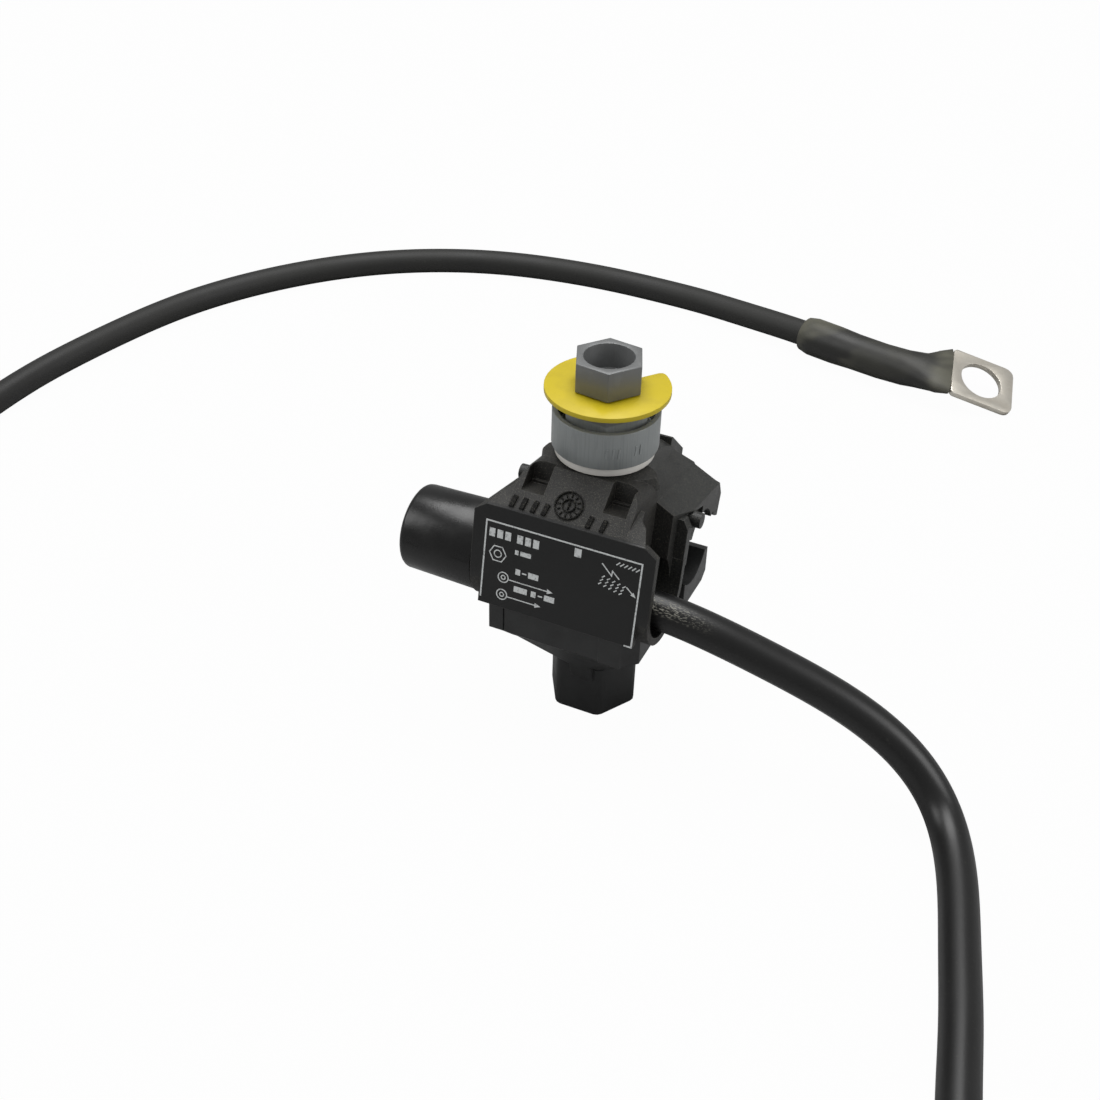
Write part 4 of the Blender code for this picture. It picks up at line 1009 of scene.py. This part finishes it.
@dataclass
class TapCable:
    """The tap cable with its shrunk sleeve and ring lug."""

    exit_point: Point = (0.0165, -0.0125, 0.0381)
    radius: float = 0.0040
    steps: int = 8
    spacing: float = 0.0015
    passes: int = 40
    sides: int = 5
    route: Sequence[Point] = (
        (-0.0130, -0.0125, 0.0381), (0.0036, -0.0125, 0.0381), (0.0200, -0.0125, 0.0381),
        (0.0276, -0.0113, 0.0359), (0.0361, -0.0099, 0.0329), (0.0446, -0.0085, 0.0296),
        (0.0531, -0.0070, 0.0260), (0.0618, -0.0059, 0.0219), (0.0699, -0.0052, 0.0168),
        (0.0746, -0.0053, 0.0132), (0.0785, -0.0060, 0.0098), (0.0816, -0.0074, 0.0066),
        (0.0842, -0.0101, 0.0045), (0.0873, -0.0172, 0.0040), (0.0905, -0.0270, 0.0040),
        (0.0940, -0.0418, 0.0040), (0.0980, -0.0580, 0.0040), (0.1010, -0.0740, 0.0040),
        (0.1050, -0.0950, 0.0040), (0.1000, -0.1180, 0.0040), (0.0800, -0.1380, 0.0040),
        (0.0450, -0.1510, 0.0040), (0.0000, -0.1600, 0.0040), (-0.0450, -0.1620, 0.0040),
        (-0.0900, -0.1520, 0.0040), (-0.1300, -0.1280, 0.0040), (-0.1630, -0.0930, 0.0040),
        (-0.1870, -0.0520, 0.0040), (-0.2000, -0.0080, 0.0040), (-0.2040, 0.0360, 0.0040),
        (-0.2007, 0.0702, 0.0040), (-0.1911, 0.1082, 0.0040), (-0.1733, 0.1397, 0.0040),
        (-0.1489, 0.1644, 0.0040), (-0.1186, 0.1804, 0.0040), (-0.0840, 0.1872, 0.0040),
        (-0.0476, 0.1871, 0.0040), (-0.0293, 0.1840, 0.0044), (-0.0123, 0.1793, 0.0056),
        (-0.0047, 0.1772, 0.0060), (0.0060, 0.1744, 0.0060),
    )

    def points(self) -> list[Vector]:
        """Works out the cable's middle line.

        Returns:
            The smooth curve through the route, as close points.
        """
        guide = [Vector(p) for p in self.route]
        fine: list[Vector] = []
        for index in range(len(guide) - 1):
            one, two = guide[index], guide[index + 1]
            before = guide[index - 1] if index else one * 2 - two
            after = guide[index + 2] if index + 2 < len(guide) else two * 2 - one
            for step in range(self.steps):
                share = step / self.steps
                fine.append(
                    (
                        one * 2
                        + (two - before) * share
                        + (before * 2 - one * 5 + two * 4 - after) * share**2
                        + (one * 3 - before - two * 3 + after) * share**3
                    )
                    / 2
                )
        fine.append(guide[-1])
        return self.evened(fine)

    def evened(self, line: list[Vector]) -> list[Vector]:
        """Spaces a line's points evenly and takes the kinks out of it.

        Args:
            line: The points of the line.

        Returns:
            The even line, with the same ends.
        """
        even = [line[0]]
        walked = 0.0
        for one, two in zip(line, line[1:]):
            span = (two - one).length
            while walked + span >= len(even) * self.spacing:
                even.append(one.lerp(two, (len(even) * self.spacing - walked) / span))
            walked += span
        even[-1] = line[-1]
        for _ in range(self.passes):
            middle = [(a + b * 2 + c) / 4 for a, b, c in zip(even, even[1:], even[2:])]
            even = [even[0], *middle, even[-1]]
        return even

    def build(self) -> bpy.types.Object:
        """Returns:
            The cable's curve.
        """
        curve = bpy.data.curves.new("tap_cable", "CURVE")
        curve.dimensions = "3D"
        curve.bevel_depth = self.radius
        curve.bevel_resolution = self.sides
        curve.use_fill_caps = True
        line = self.points()
        spline = curve.splines.new("POLY")
        spline.points.add(len(line) - 1)
        for knot, point in zip(spline.points, line):
            knot.co = (*point, 1.0)
        spline.use_smooth = True
        curve.materials.append(JacketPlastic().material())
        cable = new_object("tap_cable", curve)
        sleeve = dressed("tail_sleeve", Body.LOWER_JAW, ShrinkTube(), 0.25 * MM, 50.0)
        lug = dressed("ring_lug", Body.LOWER_JAW, LUG_TIN, 0.18 * MM)
        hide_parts("tail_cable")
        placed(cable, Body.LOWER_JAW)
        length = sum((after - before).length for before, after in zip(line, line[1:]))
        start = min(line, key=lambda point: (point - Vector(self.exit_point)).length)
        log.info("tap cable: %.3f m", length)
        return cable


@dataclass
class LowerJaw:
    """The lower housing with its nut, blades and seals."""

    def build(self) -> None:
        """Dresses the lower jaw's solids."""
        dressed("lower_housing", Body.LOWER_JAW, LOWER_MOULDING)
        dressed("captive_nut", Body.LOWER_JAW, PLATED_STEEL, 0.15 * MM)
        for side in ("left", "right"):
            dressed(f"lower_blade_{side}", Body.LOWER_JAW, BLADE_TIN, 0.06 * MM)
        for seal in ("lower_tap_seal", "lower_main_seal"):
            dressed(seal, Body.LOWER_JAW, SEAL_RUBBER, 0.12 * MM)


def raised_moulding() -> Finish:
    """Returns the darker moulding of the raised marks."""
    dark = linear(10, 10, 10)
    return UpperMoulding("raised_moulding", dark, dark, dark, linear(40, 40, 38), shine=0.12)


@dataclass(frozen=True)
class Hatch:
    """Rows of short slanted lines, in millimetres on the plate."""

    start: Point
    step: Point
    count: int
    stroke: Point
    row_step: Point = (0.0, 0.0)
    rows: int = 1

    def strokes(self) -> list[tuple[Point, Point]]:
        """Works out the lines.

        Returns:
            Each line's two ends.
        """
        ends = []
        for row in range(self.rows):
            for column in range(self.count):
                x = self.start[0] + self.step[0] * column + self.row_step[0] * row
                z = self.start[1] + self.step[1] * column + self.row_step[1] * row
                ends.append(((x, z), (x + self.stroke[0], z + self.stroke[1])))
        return ends


@dataclass
class UpperJaw:
    """The upper housing with its printed plate, moulded marks, blades and seals.

    The print, the marks and the lip are placed in millimetres in the jaw's own frame.
    """

    jaw: JawFrame = JawFrame()
    line_width: float = 0.34
    fine_width: float = 0.24
    outline: Sequence[Point] = ((-17.0, -7.5), (-17.0, 10.3), (17.3, 10.3), (17.3, -8.7), (15.7, -8.7))
    sign_bars: Sequence[Point] = (
        (-16.2, 6.9, 1.3, 1.9), (-14.4, 6.9, 1.3, 1.9), (-12.6, 6.9, 1.3, 1.9), (-9.9, 6.9, 1.3, 1.9),
        (-8.1, 6.9, 1.3, 1.9), (-6.3, 6.9, 1.3, 1.9), (2.8, 7.8, 1.5, 1.9), (-10.1, 4.3, 0.8, 1.0),
        (-8.9, 4.3, 2.4, 1.0), (-9.6, -0.2, 1.1, 1.3), (-8.1, 0.3, 1.0, 0.3), (-6.7, -0.2, 2.3, 1.3),
        (-9.6, -4.2, 3.0, 1.3), (-5.7, -4.2, 1.1, 1.3), (-4.1, -3.7, 1.0, 0.3), (-2.7, -4.2, 2.3, 1.3),
    )
    hexagon: Point = (-13.9, 3.3)
    hexagon_radii: tuple[float, float] = (1.9, 0.8)
    target_x: float = -12.2
    target_radii: tuple[float, float] = (1.15, 0.45)
    arrow_x: float = -10.9
    target_rows: Sequence[Point] = ((-1.7, -0.9), (-5.7, -3.3))
    arrow_drop: float = 0.2
    arrow_head: float = 1.3
    zigzag: Sequence[Point] = ((8.9, 8.1), (11.2, 5.9), (11.3, 7.0), (12.9, 5.6))
    pointer: Sequence[Point] = ((14.6, 4.4), (16.8, 2.6))
    hatches: Sequence[Hatch] = (
        Hatch((8.6, 3.3), (1.15, -0.25), 5, (0.62, 0.5), (0.3, 0.85), 3),
        Hatch((11.9, 8.6), (0.85, -0.06), 6, (0.75, 0.75)),
    )
    slope_out: Point = (0, -0.74, 0.67)
    slope_up: Point = (0, 0.67, 0.74)
    dial_centre: Point = (-0.0006, -0.0194, 0.0170)
    dial_rings: Sequence[tuple] = ((2.9, 0.30, 36), (1.35, 0.25, 24))
    dial_arrow: Sequence[Point] = ((0, -0.9), (0, 1.05))
    bar_starts: Sequence[float] = (-11.6, -9.3, -6.9, -4.5, 5.2, 8.2)
    bar_rise: tuple[float, float] = (-3.5, -0.9)
    lip_x: tuple[float, float] = (16.8, 19.95)
    lip_y: tuple[float, float] = (-3.45, -1.0)
    lip_z: tuple[float, float, float] = (2.0, 11.0, 12.9)
    lip_slant: float = 0.6

    def build(self) -> None:
        """Dresses the upper jaw and adds its print and marks."""
        dressed("upper_housing", Body.UPPER_JAW, UpperMoulding())
        for side in ("left", "right"):
            dressed(f"upper_blade_{side}", Body.UPPER_JAW, BLADE_TIN, 0.06 * MM)
        for seal in ("upper_tap_seal", "upper_main_seal"):
            dressed(seal, Body.UPPER_JAW, SEAL_RUBBER, 0.12 * MM)
        self.print_plate()
        self.mould_marks()
        self.cable_lip()

    def art(self, depth: float, thickness: float, sunk: float = 0.02) -> FlatArt:
        """Returns empty art that stands upright in the jaw, at a depth in metres."""
        across, upward = self.jaw.direction((1, 0, 0)), self.jaw.direction((0, 0, 1))
        return FlatArt(self.jaw.out((0, depth, 0)), across, upward, thickness, sunk)

    def cable_lip(self) -> None:
        """Raises the thin lip that stands over the tap cable's gutter."""
        (inner, outer), (front, back), (low, bend, high) = self.lip_x, self.lip_y, self.lip_z
        art = self.art(back * MM, back - front, 0.0)
        corner = outer - (high - bend) * self.lip_slant
        art.solid([(inner, low), (outer, low), (outer, bend), (corner, high), (inner, high)])
        art.finished("cable_lip", UpperMoulding(), Body.UPPER_JAW, Slot.MOULDED)

    def print_plate(self) -> None:
        """Prints the plate's outline and its plain signs."""
        inward = self.jaw.direction((0, 1, 0))
        touch = surface_point("upper_housing", self.jaw.out((0, -0.05, 0)), inward)
        art = self.art((touch - self.jaw.out((0, 0, 0))).dot(inward), 0.03)
        art.line(self.outline, self.line_width)
        for left, low, wide, tall in self.sign_bars:
            art.line([(left, low + tall / 2), (left + wide, low + tall / 2)], tall)
        art.ring(self.hexagon, self.hexagon_radii[0], self.fine_width, 6)
        art.ring(self.hexagon, self.hexagon_radii[1], self.fine_width)
        for height, tip in self.target_rows:
            for radius in self.target_radii:
                art.ring((self.target_x, height), radius, self.fine_width)
            level = height - self.arrow_drop
            art.arrow((self.arrow_x, level), (tip, level), self.fine_width, self.arrow_head)
        for line in (self.zigzag, *(ends for hatch in self.hatches for ends in hatch.strokes())):
            art.line(line, self.fine_width)
        art.arrow(*self.pointer, self.fine_width, 1.1)
        art.finished("plate_print", PrintInk(), Body.UPPER_JAW, Slot.MOULDED)

    def mould_marks(self) -> None:
        """Adds the round dial and the short bars that are moulded on the slope."""
        outward = self.jaw.direction(Vector(self.slope_out).normalized())
        upward = self.jaw.direction(Vector(self.slope_up).normalized())
        start = self.jaw.out(self.dial_centre) + outward * 0.02
        centre = surface_point("upper_housing", start, -outward)
        across = Vector((1, 0, 0))
        art = FlatArt(centre, across, upward, 0.42)
        for radius, width, sides in self.dial_rings:
            art.ring((0, 0), radius, width, sides)
        art.arrow(*self.dial_arrow, 0.25, 0.8)
        low, high = self.bar_rise
        for x in self.bar_starts:
            art.line([(x, low), (x + 0.3, high)], 0.95)
        art.finished("slope_marks", raised_moulding(), Body.UPPER_JAW, Slot.MOULDED)
        ticks = self.dial_ticks(centre, across, upward, outward)
        log.info("dial ticks: %d faces", len(ticks.data.polygons))

    def dial_ticks(self, centre: Vector, across: Vector, upward: Vector, outward: Vector) -> bpy.types.Object:
        """Grows the dial's ticks on a circle.

        Args:
            centre: The dial's middle on the slope.
            across: The slope's level direction.
            upward: The way up the slope.
            outward: The way out of it.

        Returns:
            The ticks.
        """
        tree = ShapeTree("dial_ticks", ["Count", "Radius", "Length", "Width", "Height"])
        circle = tree.node(
            "GeometryNodeMeshCircle", {"fill_type": "NONE"},
            {"Vertices": tree.size("Count"), "Radius": tree.size("Radius")},
        )
        size = tree.node(
            "ShaderNodeCombineXYZ", None,
            {0: tree.size("Length"), 1: tree.size("Width"), 2: tree.size("Height")},
        )
        bar = tree.node("GeometryNodeMeshCube", None, {"Size": size.outputs[0]})
        place = tree.node("GeometryNodeInputPosition")
        turn = tree.node(
            "FunctionNodeAlignRotationToVector", {"axis": "X"}, {"Vector": place.outputs[0]}
        )
        spread = tree.node(
            "GeometryNodeInstanceOnPoints", None,
            {"Points": circle.outputs[0], "Instance": bar.outputs[0], "Rotation": turn.outputs[0]},
        )
        ticks = tree.grown(
            "dial_ticks", spread.outputs[0], raised_moulding(),
            {"Count": 12.0, "Radius": 2.15 * MM, "Length": 0.7 * MM, "Width": 0.26 * MM, "Height": 0.56 * MM},
        )
        basis = Matrix((across, upward, outward)).transposed().to_4x4()
        ticks.data.transform(Matrix.Translation(centre) @ basis)
        return placed(ticks, Body.UPPER_JAW)


@dataclass
class ShearBolt:
    """The bolt with its thread, the shear head, the clip and the rocker washer."""

    thread_radius: float = 0.0040
    core_radius: float = 0.00340
    pitch: float = 0.00125
    thread_from: float = 0.0064
    thread_to: float = 0.0560
    top: float = 0.0720
    tip: float = 0.0060
    cup_mark_z: float = 0.0704
    cup_mark_turns: Sequence[float] = (24.0, 31.0, 37.0, 56.0, 62.0)
    tip_bevel: float = 0.0006
    shoulder: float = 0.0008
    ridge_share: float = 0.95

    def build(self) -> None:
        """Dresses the head and grows the threaded shank."""
        dressed("shear_head", Body.BOLT, CastZinc(), 0.12 * MM)
        dressed("head_clip", Body.BOLT, YELLOW_CLIP, 0.18 * MM)
        dressed("rocker_washer", Body.PRESS, PLATED_STEEL, 0.15 * MM)
        self.cup_marks()
        self.shank()

    def cup_marks(self) -> None:
        """Adds the short plain bars that are cast on the cup's side."""
        middle = Vector((0, 0, self.cup_mark_z))
        for index, turn in enumerate(self.cup_mark_turns):
            way = Matrix.Rotation(math.radians(turn), 3, "Z") @ Vector((0, -1, 0))
            side, start = Vector((-way.y, way.x, 0)), middle + way * 0.03
            art = FlatArt(surface_point("shear_head", start, -way), side, Vector((0, 0, 1)), 0.10)
            art.line([(-0.1, -1.1), (0.1, 1.1)], 0.4)
            art.finished(f"cup_mark_{index}", CastZinc(), Body.BOLT, Slot.ZINC)

    def shank(self) -> None:
        """Turns the shank's core and adds the thread round it."""
        profile = (
            (0.0, self.tip), (self.core_radius - self.tip_bevel, self.tip),
            (self.core_radius, self.tip + self.tip_bevel), (self.core_radius, self.thread_to),
            (self.thread_radius, self.thread_to + self.shoulder),
            (self.thread_radius, self.top), (0.0, self.top),
        )
        work = bmesh.new()
        knots = [work.verts.new((radius, 0, height)) for radius, height in profile]
        rim = [work.edges.new(pair) for pair in zip(knots, knots[1:])]
        bmesh.ops.spin(work, geom=knots + rim, axis=(0, 0, 1), cent=(0, 0, 0), angle=math.tau, steps=40)
        bmesh.ops.remove_doubles(work, verts=work.verts, dist=1e-6)
        bmesh.ops.recalc_face_normals(work, faces=work.faces)
        mesh = bpy.data.meshes.new("bolt_shank")
        work.to_mesh(mesh)
        work.free()
        shank = settled(new_object("bolt_shank", mesh), PLATED_STEEL, CREASE_DEG)
        thread = self.thread()
        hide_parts("clamp_bolt")
        for piece in (shank, thread):
            placed(piece, Body.BOLT)
        log.info("bolt thread: %d faces", len(thread.data.polygons))

    def thread(self) -> bpy.types.Object:
        """Grows the thread along a helix.

        Returns:
            The thread.
        """
        tree = ShapeTree("bolt_thread", ["Turns", "Radius", "Rise", "Depth"])
        helix = tree.node(
            "GeometryNodeCurveSpiral", None,
            {
                "Resolution": 28, "Rotations": tree.size("Turns"), "Start Radius": tree.size("Radius"),
                "End Radius": tree.size("Radius"), "Height": tree.size("Rise"),
            },
        )
        ridge = tree.node(
            "GeometryNodeCurvePrimitiveCircle", None, {"Resolution": 3, "Radius": tree.size("Depth")}
        )
        sweep = tree.node(
            "GeometryNodeCurveToMesh", None, {"Curve": helix.outputs[0], "Profile Curve": ridge.outputs[0]}
        )
        sweep.inputs["Fill Caps"].default_value = True
        rise = self.thread_to - self.thread_from
        depth = self.thread_radius - self.core_radius
        thread = tree.grown(
            "bolt_thread", sweep.outputs[0], PLATED_STEEL,
            {
                "Turns": rise / self.pitch, "Radius": self.core_radius,
                "Rise": rise, "Depth": depth * self.ridge_share,
            },
        )
        thread.data.transform(Matrix.Translation((0, 0, self.thread_from)))
        return thread


@dataclass
class EndCap:
    """The rubber cap over the cut end of the tap cable."""

    crease_deg: float = 50.0

    def build(self) -> None:
        """Dresses the cap."""
        dressed("end_cap", Body.CAP, CAP_RUBBER, 0.35 * MM, self.crease_deg)


@dataclass(frozen=True)
class Lamp:
    """One soft square lamp, its power in watts and its side in metres."""

    name: str
    place: Point
    target: Point
    power: float
    size: float

    def hang(self) -> None:
        """Hangs the lamp and points it at its target."""
        data = bpy.data.lights.new(self.name, "AREA")
        data.energy, data.size = self.power, self.size
        way = Vector(self.target) - Vector(self.place)
        turn = way.to_track_quat("-Z", "Y").to_matrix().to_4x4()
        new_object(self.name, data).matrix_world = Matrix.Translation(self.place) @ turn


@dataclass
class Studio:
    """The camera, the white floor and the soft lamps."""

    eye: Point = (0.09751, -0.24241, 0.23051)
    azimuth_deg: float = 24.254
    elevation_deg: float = 36.335
    roll_deg: float = 1.57
    lens: float = 49.09
    sensor: float = 36.0
    floor_half: float = 3.0
    world_strength: float = 0.36
    lamps: Sequence[Lamp] = (
        Lamp("overhead", (-0.15, 0.25, 1.25), (0, 0, 0.03), 15.0, 0.9),
        Lamp("left_front", (-0.9, -0.55, 0.75), (0, 0, 0.04), 5.0, 0.7),
        Lamp("right", (0.95, 0.10, 0.55), (0.02, 0, 0.04), 4.0, 0.6),
    )

    def camera(self) -> None:
        """Stands the camera where the photograph was taken from."""
        azimuth, elevation, roll = map(math.radians, (self.azimuth_deg, self.elevation_deg, self.roll_deg))
        flat = math.cos(elevation)
        back = Vector((flat * math.sin(azimuth), -flat * math.cos(azimuth), math.sin(elevation)))
        level = Vector((math.cos(azimuth), math.sin(azimuth), 0))
        plumb = back.cross(level)
        upward = plumb * math.cos(roll) - level * math.sin(roll)
        right = level * math.cos(roll) + plumb * math.sin(roll)
        data = bpy.data.cameras.new("camera")
        data.lens, data.sensor_width, data.sensor_fit = self.lens, self.sensor, "HORIZONTAL"
        data.clip_start = 0.01
        made = new_object("camera", data)
        made.matrix_world = Matrix.Translation(self.eye) @ Matrix((right, upward, back)).transposed().to_4x4()
        bpy.context.scene.camera = made

    def floor(self) -> None:
        """Lays the white floor."""
        half = self.floor_half
        mesh = bpy.data.meshes.new("floor")
        rim = [(-half, -half, 0), (half, -half, 0), (half, half, 0), (-half, half, 0)]
        mesh.from_pydata(rim, [], [(0, 1, 2, 3)])
        mesh.materials.append(WhiteFloor().material())
        new_object("floor", mesh)

    def light(self) -> None:
        """Hangs the lamps and sets the sky."""
        for lamp in self.lamps:
            lamp.hang()
        world = bpy.data.worlds.new("sky")
        bpy.context.scene.world = world
        world.use_nodes = True
        sky = TreeBuilder(world.node_tree)
        sky.tree.nodes.clear()
        white = (1.0, 1.0, 1.0, 1.0)
        rays = sky.node("ShaderNodeLightPath").outputs["Is Camera Ray"]
        fill = sky.node("ShaderNodeBackground", None, {0: white, 1: self.world_strength})
        seen = sky.node("ShaderNodeBackground", None, {0: white})
        mixed = sky.node("ShaderNodeMixShader", None, {0: rays, 1: fill.outputs[0], 2: seen.outputs[0]})
        sky.node("ShaderNodeOutputWorld", None, {0: mixed.outputs[0]})
        bpy.context.scene.view_settings.view_transform = "Standard"

    def build(self) -> None:
        """Sets up the whole studio."""
        self.camera()
        self.floor()
        self.light()


def main() -> None:
    """Builds the studio and each sub-assembly."""
    logging.basicConfig(level=logging.INFO, format="%(name)s: %(message)s")
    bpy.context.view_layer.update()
    for part in (Studio(), TapCable(), LowerJaw(), UpperJaw(), ShearBolt(), EndCap()):
        part.build()
        log.info("built %s", type(part).__name__)


if __name__ == "__main__":
    main()
